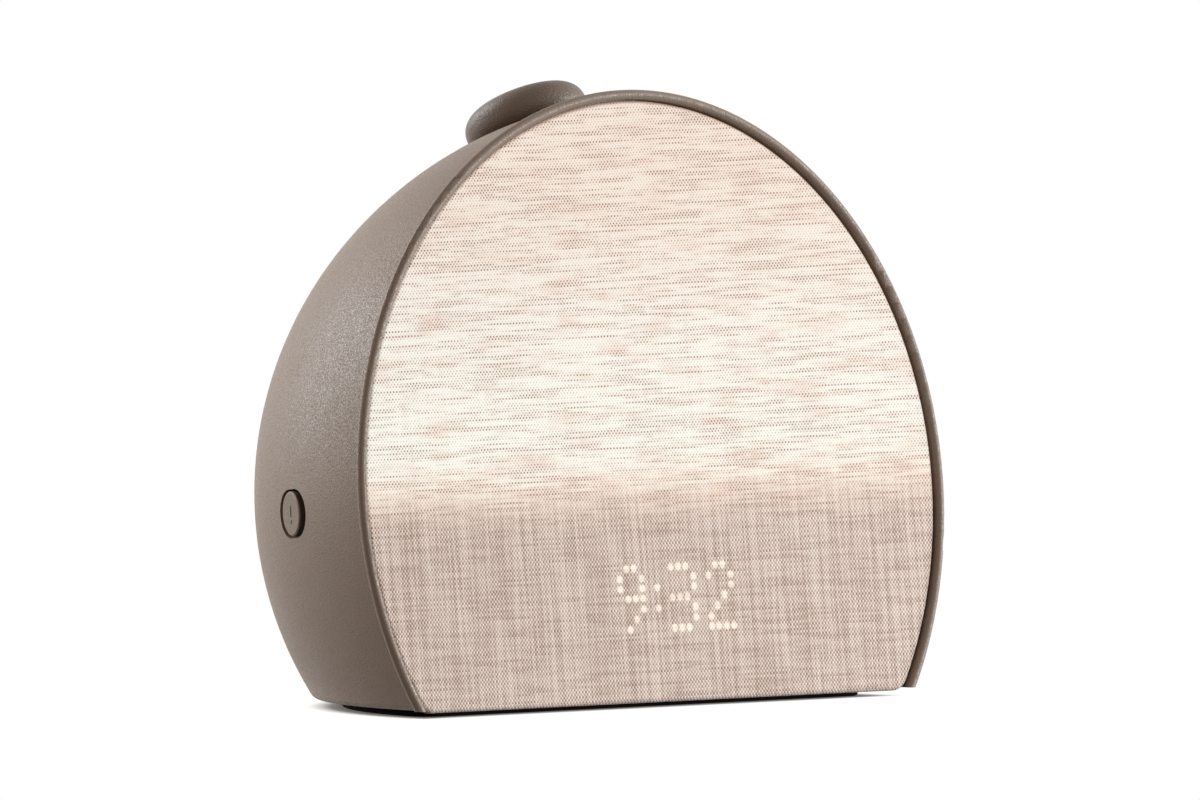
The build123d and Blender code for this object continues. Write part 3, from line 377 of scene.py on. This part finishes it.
# %% Inner finishes
# Each plastic has a name, a colour, a roughness, its grain's scale and depth, and here and there
# its own mottling and gloss. Each metal has a name, a colour and a roughness.
finishes = {
    "shell": shell_plastic,
    "foot": plastic("black rubber", (0.006, 0.005, 0.005), 0.85, 1800, 0.04 * mm, mottle=0.2, gloss=0.08),
    "base": plastic("black base", (0.030, 0.028, 0.027), 0.6, 1600, 0.06 * mm, mottle=0.15),
    "frame": plastic("pale frame", (0.62, 0.60, 0.57), 0.55, 2200, 0.02 * mm),
    "opal": plastic("opal plate", (0.86, 0.85, 0.82), 0.4, 2600, 0.01 * mm, mottle=0.02),
    "tray": plastic("white tray", (0.85, 0.85, 0.84), 0.35, 2600, 0.01 * mm, mottle=0.02),
    "mask": plastic("black mask", (0.015, 0.015, 0.015), 0.6, 2200, 0.02 * mm),
    "board": plastic("green board", (0.02, 0.12, 0.06), 0.4, 3000, 0.01 * mm, mottle=0.15),
    "led": plastic("lamp package", (0.85, 0.78, 0.50), 0.35, 2600, 0.01 * mm),
    "chip": plastic("chip", (0.02, 0.02, 0.022), 0.5, 3200, 0.02 * mm),
    "capacitor": metal("capacitor can", (0.62, 0.63, 0.66), 0.35),
    "can": metal("screening can", (0.70, 0.70, 0.70), 0.32),
    "socket": plastic("lead socket", (0.75, 0.72, 0.65), 0.5, 2400, 0.01 * mm),
    "switch": plastic("switch body", (0.03, 0.03, 0.03), 0.45, 2400, 0.01 * mm),
    "plunger": plastic("switch plunger", (0.78, 0.78, 0.74), 0.45, 2400, 0.01 * mm),
    "screw": metal("plated screw", (0.56, 0.56, 0.58), 0.33),
    "spring_steel": steel,
    "foam": plastic("foam ring", (0.03, 0.03, 0.03), 0.9, 900, 0.1 * mm, mottle=0.2, gloss=0.2),
    "basket": metal("painted basket", (0.06, 0.06, 0.06), 0.45),
    "surround": plastic("rubber roll", (0.02, 0.02, 0.02), 0.6, 2400, 0.01 * mm),
    "cone": plastic("paper cone", (0.045, 0.042, 0.040), 0.85, 700, 0.1 * mm, mottle=0.25, gloss=0.2),
    "magnet": metal("ferrite magnet", (0.10, 0.10, 0.11), 0.55),
    "inlet": metal("socket shell", (0.72, 0.72, 0.73), 0.28),
    "contacts": plastic("contact tongue", (0.02, 0.02, 0.02), 0.45, 2600, 0.01 * mm),
}
slot_of = {row["node"]: row["material_slot"] for row in frame["record"]["subparts"]}
for node_name, node in nodes.items():
    if slot_of[node_name] in finishes:
        dress(node, finishes[slot_of[node_name]])
dress(nodes["top_button"], pebble_plastic)
print("finishes on", sum(1 for name in nodes if slot_of[name] in finishes), "nodes")

# %% [markdown]
# ## Side knobs
# A knob's flank stands in its slot, where little light comes, so it looks darker than its face.
# Both could be one colour, but then the slot would look filled. So shade is painted into the
# colour: it darkens in a narrow band just under the outer face.


# %% Where a knob looks and slides
def knob_axes(side):
    """Three directions of a side knob: across its slide, along its slide, and out of the dome."""
    slide = Vector(joints[f"{side}_toggle_slide"]["axis"])
    across = -face_up if side == "left" else face_up
    return across, slide, across.cross(slide)


def knob_points(side):
    """All points of a side knob."""
    return [vert.co for vert in nodes[f"{side}_toggle"].data.vertices]


for side in ("left", "right"):
    print(side, "knob looks to", [round(part, 3) for part in knob_axes(side)[2]])

# %% Knob finish with painted shade
knob_shade_start = 0.15 * mm
knob_shade_depth = 0.6 * mm
flank_painted_shade = 0.22
flank_roughness = 0.9
face_roughness = 0.5
knob_gloss = 0.25
mottle_dark = (0.9, 0.9, 0.9, 1)
mottle_pale = (1.1, 1.1, 1.1, 1)


def knob_finish_with_painted_shade(side):
    """The shell's plastic with painted shade: darker and duller below the knob's outer face."""
    out = knob_axes(side)[2]
    top = extent(knob_points(side), out)[1]
    finish, tree, shader = new_material(f"{side} knob")
    height, slow = grain_of(tree, grain_scale=2400)
    along = vector_calc(tree, "DOT_PRODUCT", "Value", object_place(tree), out)
    # Painted shade: the colour darkens below the knob's outer face, where the slot keeps the light out.
    face_share = ramp(tree, along, top - knob_shade_depth, top - knob_shade_start)
    shade = blend(tree, face_share, shade_of(shell_colour, flank_painted_shade), shade_of(shell_colour, 1))
    speck = blend(tree, slow, mottle_dark, mottle_pale)
    tree.links.new(blend(tree, 1.0, shade, speck, "MULTIPLY"), shader.inputs["Base Color"])
    tree.links.new(ramp(tree, face_share, 0, 1, flank_roughness, face_roughness), shader.inputs["Roughness"])
    shader.inputs["Specular IOR Level"].default_value = knob_gloss
    bumped(tree, shader, height, depth=0.1 * mm)
    return finish


for side in ("left", "right"):
    dress(nodes[f"{side}_toggle"], knob_finish_with_painted_shade(side))
print("knob finishes made")

# %% [markdown]
# ## Linen
# The face is one piece of plain-weave linen, pulled over a frame and tucked round its edge. It
# could be modelled thread by thread, but that is some seventy-five thousand crossings. So the sheet
# itself is plain, and the weave is worked out in its material from the sheet's own flat coordinates.
#
# The sheet starts as a disc, cut flat at the bottom. Pushing its outline back and rounding the
# front edge gives the tucked sides. The disc's 232 sides are chosen so that the one next to each
# corner is longer than the corner's rounding; with 240 sides the rounding would run past it.

# %% Linen sheet
linen_low, linen_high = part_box("fabric_cover")
linen_radius = (linen_high.x - linen_low.x) / 2
linen_sides = 232
linen_drop = 52.3 * mm
linen_corner = 2.5 * mm
linen_fold = 1.2 * mm
linen_depth = 2.2 * mm
round_steps = 8
nearly_zero = 0.0001 * mm

sheet = bmesh.new()
bmesh.ops.create_circle(sheet, cap_ends=True, radius=linen_radius, segments=linen_sides)
bmesh.ops.bisect_plane(sheet, geom=sheet.verts[:] + sheet.edges[:] + sheet.faces[:],
                       plane_co=(0, -linen_drop, 0), plane_no=(0, -1, 0), clear_outer=True)
corners = sorted(sheet.verts, key=lambda v: (round(v.co.y, 6), -abs(v.co.x)))[:2]
bmesh.ops.bevel(sheet, geom=corners, offset=linen_corner, affect="VERTICES", segments=round_steps,
                profile=0.5, material=-1)
sides = bmesh.ops.extrude_face_region(sheet, geom=sheet.faces[:])
back = [v for v in sides["geom"] if isinstance(v, bmesh.types.BMVert)]
bmesh.ops.translate(sheet, verts=back, vec=(0, 0, -linen_depth))
closing = [f for f in sheet.faces if all(v.co.z < -linen_depth / 2 for v in f.verts)]
bmesh.ops.delete(sheet, geom=closing, context="FACES_ONLY")
bmesh.ops.recalc_face_normals(sheet, faces=sheet.faces[:])
front_edges = [e for e in sheet.edges if all(abs(v.co.z) < nearly_zero for v in e.verts)]
bmesh.ops.bevel(sheet, geom=front_edges, offset=linen_fold, affect="EDGES", segments=round_steps,
                profile=0.5, material=-1)
print(len(sheet.faces), "faces before the display patch")

# %% [markdown]
# ## Where the time shows
# The time is not printed: small lamps behind the cloth shine through it, each through its own cell
# of a black mask. The glow could be some forty small discs laid on the cloth, but light belongs in
# the weave. So the cloth gets a patch of fine faces, and each point there stores how much light
# reaches it.

# %% Lamp dots of the time
dot_pitch = 2.54 * mm
display_drop = 26.5 * mm
digit_rows = {
    "9": (".##.", "#..#", "#..#", ".###", "...#", "..#.", ".#.."),
    "3": ("###.", "...#", "...#", "###.", "...#", "...#", "###."),
    "2": (".##.", "#..#", "...#", "..#.", ".#..", "#...", "####"),
    ":": (".", ".", "#", ".", "#", ".", "."),
}
digit_columns = (("9", -5), (":", 0), ("3", 2), ("2", 7))
middle_row = 3
lit_dots = []
for digit, first_column in digit_columns:
    for row, marks in enumerate(digit_rows[digit]):
        for column, mark in enumerate(marks):
            if mark == "#":
                across = (first_column + column) * dot_pitch
                lit_dots.append((across, (middle_row - row) * dot_pitch - display_drop))
print(len(lit_dots), "lamps are lit")

# %% Fine patch over the display
patch_step = 0.3 * mm
patch_border = 1.5 * mm
patch_left = min(u for u, v in lit_dots) - patch_border
patch_right = max(u for u, v in lit_dots) + patch_border
patch_low = min(v for u, v in lit_dots) - patch_border
patch_high = max(v for u, v in lit_dots) + patch_border
columns = round((patch_right - patch_left) / patch_step)
rows = round((patch_high - patch_low) / patch_step)

for point, normal in (((patch_left, 0, 0), (1, 0, 0)), ((patch_right, 0, 0), (1, 0, 0)),
                      ((0, patch_low, 0), (0, 1, 0)), ((0, patch_high, 0), (0, 1, 0))):
    whole_sheet = sheet.verts[:] + sheet.edges[:] + sheet.faces[:]
    bmesh.ops.bisect_plane(sheet, geom=whole_sheet, plane_co=point, plane_no=normal)
patch_middle = Vector(((patch_left + patch_right) / 2, (patch_low + patch_high) / 2, 0))
middle_face = min(sheet.faces, key=lambda f: (f.calc_center_median() - patch_middle).length)
level_edges = [e for e in middle_face.edges if abs(e.verts[0].co.y - e.verts[1].co.y) < nearly_zero]
upright_edges = [e for e in middle_face.edges if abs(e.verts[0].co.x - e.verts[1].co.x) < nearly_zero]
bmesh.ops.delete(sheet, geom=[middle_face], context="FACES_ONLY")
bmesh.ops.subdivide_edges(sheet, edges=level_edges, cuts=columns - 1)
bmesh.ops.subdivide_edges(sheet, edges=upright_edges, cuts=rows - 1)
half_patch = Matrix.Diagonal(((patch_right - patch_left) / 2, (patch_high - patch_low) / 2, 1, 1))
bmesh.ops.create_grid(sheet, x_segments=columns, y_segments=rows, size=1,
                      matrix=Matrix.Translation(patch_middle) @ half_patch)
bmesh.ops.remove_doubles(sheet, verts=sheet.verts[:], dist=patch_step / 10)
bmesh.ops.recalc_face_normals(sheet, faces=sheet.faces[:])
if sum(f.normal.z * f.calc_area() for f in sheet.faces) < 0:
    bmesh.ops.reverse_faces(sheet, faces=sheet.faces[:])
print(len(sheet.faces), "faces with the patch of", columns, "by", rows)

# %% [markdown]
# The cloth's flat coordinates go in a UV map, in metres. On the front they are simply the face
# coordinates; round the edge the cloth goes on past them, by the length of its fold. A UV map could
# be unwrapped in the editor, but the fold is a quarter circle, so its length is known.

# %% Flat coordinates and lamp light
dot_radius = 0.95 * mm
glow_core = 0.85
glow_edge = 1.35
level_normal = 1e-6
flat_map = sheet.loops.layers.uv.new("cloth")
lamp_light = sheet.verts.layers.float.new("lamp light")
sheet.normal_update()


def fold_surplus(depth):
    """How much more cloth than width lies between the front and a point of the tucked edge."""
    turned = acos(max(1 - depth / linen_fold, 0))
    return linen_fold * (turned - sin(turned)) + max(depth - linen_fold, 0)


for vert in sheet.verts:
    outward = Vector((vert.normal.x, vert.normal.y))
    surplus = Vector((0, 0))
    if outward.length > level_normal:
        surplus = fold_surplus(-vert.co.z) * outward.normalized()
    for loop in vert.link_loops:
        loop[flat_map].uv = (vert.co.x + surplus.x, vert.co.y + surplus.y)
    if patch_left < vert.co.x < patch_right and patch_low < vert.co.y < patch_high:
        nearest = min(sqrt((vert.co.x - u) ** 2 + (vert.co.y - v) ** 2) for u, v in lit_dots) / dot_radius
        share = min(max((glow_edge - nearest) / (glow_edge - glow_core), 0), 1)
        vert[lamp_light] = share * share * (3 - 2 * share)
for flat_face in sheet.faces:
    flat_face.smooth = True

linen = new_piece("linen_front", sheet, face)
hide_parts("fabric_cover")

# %% [markdown]
# ## The weave
# In plain weave each thread goes over one and under the next. It could be a tiled picture, but a
# picture repeats. A cosine across the warp times a cosine across the weft is one where a warp thread
# is on top, and minus one where the weft is. Linen yarn is uneven: every thread gets its own slow
# noise, so that it swells and thins as it runs.

# %% Weave group
warp_pitch = 0.54 * mm
weft_pitch = 0.62 * mm
wander_threads = 0.7
wander_scale = 40.0
thread_step = 1.737
streak_low = 0.32
streak_high = 0.68


def weave_group():
    """Node group for plain-weave linen, from flat cloth coordinates in metres."""
    group = bpy.data.node_groups.new("linen weave", "ShaderNodeTree")
    group.interface.new_socket("Cloth", in_out="INPUT", socket_type="NodeSocketVector")
    for name, value in (("Warp Pitch", warp_pitch), ("Weft Pitch", weft_pitch), ("Wander", wander_threads)):
        socket = group.interface.new_socket(name, in_out="INPUT", socket_type="NodeSocketFloat")
        socket.default_value = value
    for name in ("Crossing", "Height", "Warp Streak", "Weft Streak"):
        group.interface.new_socket(name, in_out="OUTPUT", socket_type="NodeSocketFloat")
    given = group.nodes.new("NodeGroupInput")
    result = group.nodes.new("NodeGroupOutput")

    cloth = given.outputs["Cloth"]
    axes = add_node(group, "ShaderNodeSeparateXYZ", {0: cloth})
    drift = add_node(group, "ShaderNodeTexNoise", {"Vector": cloth, "Scale": wander_scale}).outputs["Color"]
    drifts = add_node(group, "ShaderNodeSeparateColor", {0: drift}).outputs

    def thread_number(along, pitch, shift):
        """Which thread a point is on; whole numbers are the middles of threads."""
        wander = calc(group, "MULTIPLY", calc(group, "SUBTRACT", shift, 0.5), given.outputs["Wander"])
        return calc(group, "ADD", calc(group, "DIVIDE", along, pitch), wander)

    def thread_wave(number):
        """A wave that swings over one thread and under the next."""
        return calc(group, "COSINE", scaled(group, number, pi))

    def thread_body(wave, over):
        """Height of one set of threads; over is 0.5 for the warp and -0.5 for the weft."""
        return calc(group, "MULTIPLY", calc(group, "ABSOLUTE", wave), scaled(group, crossing, over, 0.5))

    def streaks(number, along, seed, run_share, roughness):
        """Slow noise along each thread, apart from its neighbours."""
        thread = scaled(group, calc(group, "ROUND", number), thread_step, seed)
        run = scaled(group, along, run_share)
        place = add_node(group, "ShaderNodeCombineXYZ", {0: thread, 1: run, 2: seed}).outputs[0]
        return ramp(group, noise(group, place, 1.0, detail=3.0, roughness=roughness), streak_low, streak_high)

    warp = thread_number(axes.outputs[0], given.outputs["Warp Pitch"], drifts[0])
    weft = thread_number(axes.outputs[1], given.outputs["Weft Pitch"], drifts[1])
    warp_wave = thread_wave(warp)
    weft_wave = thread_wave(weft)
    crossing = calc(group, "MULTIPLY", warp_wave, weft_wave)
    height = calc(group, "MAXIMUM", thread_body(warp_wave, 0.5), thread_body(weft_wave, -0.5))
    warp_streak = streaks(warp, weft, seed=0.31, run_share=0.015, roughness=0.55)
    weft_streak = streaks(weft, warp, seed=7.63, run_share=0.030, roughness=0.62)
    for socket, value in enumerate((crossing, height, warp_streak, weft_streak)):
        group.links.new(value, result.inputs[socket])
    return group


linen_weave = weave_group()
print(len(linen_weave.nodes), "nodes in the weave")

# %% [markdown]
# ## Linen in room light
# Natural linen is uneven in colour: here the warp is pale and the weft is browner. It could have one
# colour and shadows only, but real yarn varies too: a thin stretch of thread lets the brown through,
# and a thick one is paler. So each cause adds its share of paleness, and one blend turns it to colour.

# %% Linen threads
thread_pale = (1.0, 0.875, 0.795, 1)
thread_brown = (0.34, 0.220, 0.167, 1)
crossing_edge = 0.7
weft_paleness = -0.085
warp_paler = 0.80
cloud_scale = 90.0
cloud_gain = 0.16
linen_cloth, tree, shader = new_material("linen")
cloth_place = add_node(tree, "ShaderNodeUVMap", uv_map="cloth").outputs[0]
weave = add_node(tree, "ShaderNodeGroup", {"Cloth": cloth_place}, node_tree=linen_weave)
crossing, height, warp_streak, weft_streak = weave.outputs[:4]
thin_warp = calc(tree, "SUBTRACT", 1.0, warp_streak)
thin_weft = calc(tree, "SUBTRACT", 1.0, weft_streak)
cloudy = noise(tree, cloth_place, cloud_scale, detail=3.0)

pale_share = scaled(tree, ramp(tree, crossing, -crossing_edge, crossing_edge), warp_paler, weft_paleness)
for streak, share in ((warp_streak, 0.16), (weft_streak, 0.14)):
    pale_share = scaled(tree, streak, share, pale_share)
for streak, share in ((thin_warp, -0.08), (thin_weft, -0.12), (warp_streak, 0.13)):
    pale_share = scaled(tree, calc(tree, "POWER", streak, 3.0), share, pale_share)
pale_share = scaled(tree, cloudy, cloud_gain, pale_share)
unlit_colour = blend(tree, pale_share, thread_brown, thread_pale)
print(len(tree.nodes), "nodes for the threads")

# %% [markdown]
# ## Light through the cloth
# Behind the upper half stands an opal plate lit by a field of lamps. Real light through real cloth
# could be traced, but it would be slow and noisy. So the cloth glows by itself. It is lit above the
# lamp's sill, where the glow fades out softly, and at the dots of the time. It is clear nearly
# everywhere there: only where the weft lies on top does a small dark spot show, deeper in a thin
# stretch of thread, and the tucked edge is dim because the frame stands behind it.

# %% Where the cloth is lit
sill_wander = 4 * mm
sill_scale = 60.0
sill_start = -10 * mm
sill_end = 6 * mm
top_start = 10 * mm
top_end = 95 * mm
heights = add_node(tree, "ShaderNodeSeparateXYZ", {0: cloth_place}).outputs[1]
lamps = add_node(tree, "ShaderNodeAttribute", attribute_name="lamp light").outputs["Fac"]
wander = scaled(tree, noise(tree, cloth_place, sill_scale, detail=3.0), sill_wander, -sill_wander / 2)
above_sill = calc(tree, "ADD", heights, wander)
toward_top = ramp(tree, heights, top_start, top_end)
lit = calc(tree, "MAXIMUM", ramp(tree, above_sill, sill_start, sill_end), lamps)
print(f"the glow fades out over {(sill_end - sill_start) / mm:.0f} mm")

# %% How clear the cloth is
blush_scales = (60.0, 190.0, 60.0)
blush_start, blush_full = 0.45, 0.90
edge_inside = 1.1 * mm
edge_outside = 0.2 * mm
edge_light = 0.25
lamp_clearness = 0.70
spot_base, spot_thin = 0.30, 1.05
spot_low, spot_rise = 0.86, 0.28
spot_blush = 0.22
spot_start, spot_full = -0.12, -0.72
weft_gain, weft_least = 0.21, 0.865
warp_gain, warp_least = 0.08, 0.96
stretched = vector_calc(tree, "MULTIPLY", "Vector", cloth_place, blush_scales)
blushes = ramp(tree, noise(tree, stretched, 1.0, detail=3.0), blush_start, blush_full)
spot_depth = scaled(tree, calc(tree, "MULTIPLY", thin_weft, thin_weft), spot_thin, spot_base)
spot_depth = calc(tree, "MULTIPLY", spot_depth, scaled(tree, toward_top, spot_rise, spot_low))
spot_depth = scaled(tree, blushes, spot_blush, spot_depth)
spots = calc(tree, "MULTIPLY", ramp(tree, crossing, spot_start, spot_full), spot_depth)
from_middle = vector_calc(tree, "LENGTH", "Value", cloth_place)
framed = ramp(tree, from_middle, linen_radius - edge_inside, linen_radius + edge_outside, 1.0, edge_light)
clear = calc(tree, "SUBTRACT", 1.0, spots)
through_weft = scaled(tree, weft_streak, weft_gain, weft_least)
through_warp = scaled(tree, warp_streak, warp_gain, warp_least)
for veil in (through_weft, through_warp, framed):
    clear = calc(tree, "MULTIPLY", clear, veil)
clear = calc(tree, "MAXIMUM", clear, scaled(tree, lamps, lamp_clearness))
print(len(tree.nodes), "nodes so far")

# %% [markdown]
# The glow is palest just above the sill and warmer towards the top, with a faint blush here and
# there. It could be one colour, but light that has come through a lot of yarn is redder: so the
# colour also warms at the sill, and in the dark spots between clear cloth.

# %% Colour of the glow
thread_lit = (0.34, 0.190, 0.145, 1)
glow_low = (0.69, 0.82, 0.78, 1)
glow_high = (0.63, 0.66, 0.60, 1)
glow_blush = (0.58, 0.54, 0.475, 1)
glow_lamp = (0.74, 0.80, 0.71, 1)
sill_tint = (1.0, 0.82, 0.74, 1)
spot_tint = (1.0, 0.69, 0.57, 1)
tint_start = -8 * mm
tint_end = 14 * mm
at_sill = blend(tree, ramp(tree, above_sill, tint_start, tint_end), sill_tint, white)
in_spots = blend(tree, clear, spot_tint, white)
sunrise = blend(tree, toward_top, glow_low, glow_high)
sunrise = blend(tree, blushes, sunrise, glow_blush)
sunrise = blend(tree, 1.0, sunrise, at_sill, "MULTIPLY")
sunrise = blend(tree, lamps, sunrise, glow_lamp)
sunrise = blend(tree, 1.0, sunrise, in_spots, "MULTIPLY")
glow = blend(tree, calc(tree, "MULTIPLY", clear, lit), black, sunrise)
tree.links.new(glow, shader.inputs["Emission Color"])
# Painted lit copy: where the cloth glows, its own colour turns to the even brown of thread_lit instead of the
# weave's colours.
tree.links.new(blend(tree, lit, unlit_colour, thread_lit), shader.inputs["Base Color"])
print(len(tree.nodes), "nodes in the linen")

# %% Linen surface
linen_values = {"Emission Strength": 1.0, "Roughness": 0.92, "Specular IOR Level": 0.2,
                "Sheen Weight": 0.15, "Sheen Roughness": 0.5}
for name, value in linen_values.items():
    shader.inputs[name].default_value = value
bumped(tree, shader, height, depth=0.12 * mm, strength=0.7)
linen.data.materials.append(linen_cloth)
print("linen dressed")

# %% [markdown]
# ## Marks on the side knobs
# Each knob carries a moulded bar and a dot, which a fingertip finds in the dark. They could be a
# bump in the knob's material, but at this size real raised strips catch the light better. Each is a
# small disc pulled long, raised by about a fifth of a millimetre, with its upper edge rounded.

# %% Raised marks
mark_width = 0.6 * mm
mark_rise = 0.18 * mm
bar_middle, bar_length = 0.6 * mm, 2.9 * mm
dot_middle, dot_length = -2.0 * mm, 0.9 * mm
mark_sides = 16
rim_depth = 0.01 * mm
mark_colour = shade_of(shell_colour, 0.62)[:3]
mark_finish = plastic("knob mark", mark_colour, roughness=0.5, grain_scale=2600, grain_depth=0.03 * mm)


def knob_place(side):
    """Matrix of a side knob's outer face, taken from the frame: y is the way that it slides."""
    across, slide, out = knob_axes(side)
    top = extent(knob_points(side), out)[1]
    rim = [point for point in knob_points(side) if point.dot(out) > top - rim_depth]
    middle = across * sum(extent(rim, across)) / 2 + slide * sum(extent(rim, slide)) / 2 + out * top
    return placed(across, slide, out, middle)


for side, turn in (("left", -1), ("right", 1)):
    marks = bmesh.new()
    for middle, length in ((bar_middle, bar_length), (dot_middle, dot_length)):
        disc = bmesh.ops.create_circle(marks, cap_ends=True, radius=mark_width / 2, segments=mark_sides)
        made = disc["verts"]
        for end in (-1, 1):
            half = [v for v in made if v.co.x * end > nearly_zero]
            bmesh.ops.translate(marks, verts=half, vec=(end * (length - mark_width) / 2, 0, 0))
        bmesh.ops.translate(marks, verts=made, vec=(middle * turn, 0, 0))
    raised = bmesh.ops.extrude_face_region(marks, geom=marks.faces[:])
    raised_points = [v for v in raised["geom"] if isinstance(v, bmesh.types.BMVert)]
    bmesh.ops.translate(marks, verts=raised_points, vec=(0, 0, mark_rise))
    bmesh.ops.recalc_face_normals(marks, faces=marks.faces[:])
    rounded = [e for e in marks.edges if all(v.co.z > mark_rise / 2 for v in e.verts)]
    bmesh.ops.bevel(marks, geom=rounded, offset=mark_rise / 2, affect="EDGES", segments=2,
                    profile=0.5, material=-1)
    piece = new_piece(f"{side}_toggle_mark", marks, knob_place(side), f"{side}_toggle")
    piece.data.materials.append(mark_finish)

# %% [markdown]
# ## The button's spring
# A coil spring lifts the pebble off its switch. The one in the frame is rigid, so a pressed pebble
# would cut into it. It is made again as wire is wound: a small ring goes round an upright axis and
# climbs as it goes.

# %% Where the spring stands
spring_points = [vert.co for vert in nodes["button_spring"].data.vertices]
press = joints["top_button_press"]
press_up = -Vector(press["axis"])
press_back = press_up.cross(face_right)
spring_foot, spring_top = extent(spring_points, press_up)
spring_length = spring_top - spring_foot
spring_middle = (face_right * sum(extent(spring_points, face_right))
                 + press_back * sum(extent(spring_points, press_back))) / 2
spring_place = placed(face_right, press_back, press_up, spring_middle + press_up * spring_foot)

# %% Wound spring
coil_radius = 5.6 * mm
coil_wire = 0.34 * mm
coil_gap = 0.01 * mm
coil_turns = 3
steps_in_turn = 40
wire_sides = 12
coil_steps = coil_turns * steps_in_turn
coil_climb = (spring_length - 2 * (coil_wire + coil_gap)) / coil_steps

coil = bmesh.new()
coil_start = Matrix.Translation((-coil_radius, 0, coil_wire + coil_gap)) @ Matrix.Rotation(pi / 2, 4, "X")
ring = bmesh.ops.create_circle(coil, radius=coil_wire, segments=wire_sides, matrix=coil_start)["verts"]
bmesh.ops.spin(coil, geom=ring + coil.edges[:], cent=(0, 0, 0), axis=(0, 0, 1),
               dvec=(0, 0, coil_climb), angle=coil_turns * 2 * pi, steps=coil_steps)
bmesh.ops.holes_fill(coil, edges=[e for e in coil.edges if e.is_boundary], sides=0)
bmesh.ops.recalc_face_normals(coil, faces=coil.faces[:])
for coil_face in coil.faces:
    coil_face.smooth = len(coil_face.verts) == 4
spring = new_piece("button_spring_coil", coil, spring_place)
spring.data.materials.append(steel)
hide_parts("button_spring")
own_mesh(spring)

# %% [markdown]
# ## Floor and light
# The clock stands on a pale floor in a white room. Pure white could come from very strong lamps,
# but they would bleach the cloth. So the floor and the room are white only to the camera, to
# reflections and through glass, and the lamps stay at a level at which a colour looks as it is
# written. Close to the foot the floor is plain and grey, so that the clock's shadow shows on it, and
# under and right round the foot the floor's own glow drops low: a painted shadow.

# %% Floor
floor_radius = 12
floor_sides = 64
floor_gap = 0.05 * mm
floor_mesh = bmesh.new()
bmesh.ops.create_circle(floor_mesh, cap_ends=True, radius=floor_radius, segments=floor_sides,
                        matrix=Matrix.Translation((0, 0, -floor_gap)))
floor_data = bpy.data.meshes.new("floor")
floor_mesh.to_mesh(floor_data)
floor_mesh.free()
floor = bpy.data.objects.new("floor", floor_data)
bpy.context.scene.collection.objects.link(floor)
print(f"floor reaches {floor_radius} m each way")


# %% What the camera sees
def seen_directly(tree):
    """One for camera, mirror and glass rays, zero for the light that spreads."""
    path = add_node(tree, "ShaderNodeLightPath")
    either = calc(tree, "MAXIMUM", path.outputs["Is Camera Ray"], path.outputs["Is Glossy Ray"])
    return calc(tree, "MAXIMUM", either, path.outputs["Is Transmission Ray"])


# %% Floor finish, with a painted shadow round the foot
foot_middle = (0, -36 * mm, 0)
foot_reach = 80 * mm
foot_front = 42 * mm
grey_end, white_start = 1.02, 1.20
painted_shadow_end, painted_shadow_fade_end = 0.95, 1.06
near_base = (0.80, 0.80, 0.80, 1)
near_glow = (0.70, 0.70, 0.70, 1)
# Painted shadow: under and right round the foot the floor's own glow drops to this dark level.
painted_shadow_glow = (0.10, 0.09, 0.08, 1)
spread_floor = (0.17, 0.135, 0.105, 1)

floor_finish, tree, shader = new_material("white floor")
seen = seen_directly(tree)
place = object_place(tree)
from_foot = vector_calc(tree, "DISTANCE", "Value", place, foot_middle)
behind = add_node(tree, "ShaderNodeSeparateXYZ", {0: place}).outputs[1]
from_clock = calc(tree, "MAXIMUM", calc(tree, "DIVIDE", from_foot, foot_reach),
                  calc(tree, "DIVIDE", behind, -foot_front))
far = ramp(tree, from_clock, grey_end, white_start)
beyond_painted_shadow = ramp(tree, from_clock, painted_shadow_end, painted_shadow_fade_end)
seen_base = blend(tree, far, near_base, black)
seen_glow = blend(tree, beyond_painted_shadow, painted_shadow_glow, blend(tree, far, near_glow, white))
tree.links.new(blend(tree, seen, spread_floor, seen_base), shader.inputs["Base Color"])
tree.links.new(blend(tree, seen, black, seen_glow), shader.inputs["Emission Color"])
for name, value in {"Emission Strength": 1.0, "Roughness": 1.0, "Specular IOR Level": 0.0}.items():
    shader.inputs[name].default_value = value
floor.data.materials.append(floor_finish)
print(len(tree.nodes), "nodes in the floor")

# %% Room
spread_room = (0.38, 0.32, 0.27, 1)
room = bpy.data.worlds.new("room")
bpy.context.scene.world = room
room.use_nodes = True
room_colour = blend(room.node_tree, seen_directly(room.node_tree), spread_room, white)
room.node_tree.links.new(room_colour, room.node_tree.nodes["Background"].inputs["Color"])
print("room made")


# %% Lamps
def soft_lamp(name, azimuth, elevation, distance, width, height, watts, colour):
    """Oblong soft light aimed at the clock, in degrees and metres; azimuth 0 is the right, 90 the back."""
    data = bpy.data.lights.new(name, "AREA")
    data.shape = "RECTANGLE"
    data.size = width
    data.size_y = height
    data.energy = watts
    data.color = colour
    lamp = bpy.data.objects.new(name, data)
    bpy.context.scene.collection.objects.link(lamp)
    azimuth, elevation = radians(azimuth), radians(elevation)
    away = Vector((cos(elevation) * cos(azimuth), cos(elevation) * sin(azimuth), sin(elevation)))
    lamp.location = frame_middle + away * distance
    lamp.rotation_euler = away.to_track_quat("Z", "Y").to_euler()
    print(f"{name}: {watts} W at {distance} m")


soft_lamp("right", azimuth=-38, elevation=7, distance=3.2, width=2.6, height=0.9, watts=127,
          colour=(0.93, 0.97, 1.0))
soft_lamp("left_back", azimuth=112, elevation=22, distance=1.6, width=1.0, height=1.0, watts=22,
          colour=(0.95, 0.98, 1.0))
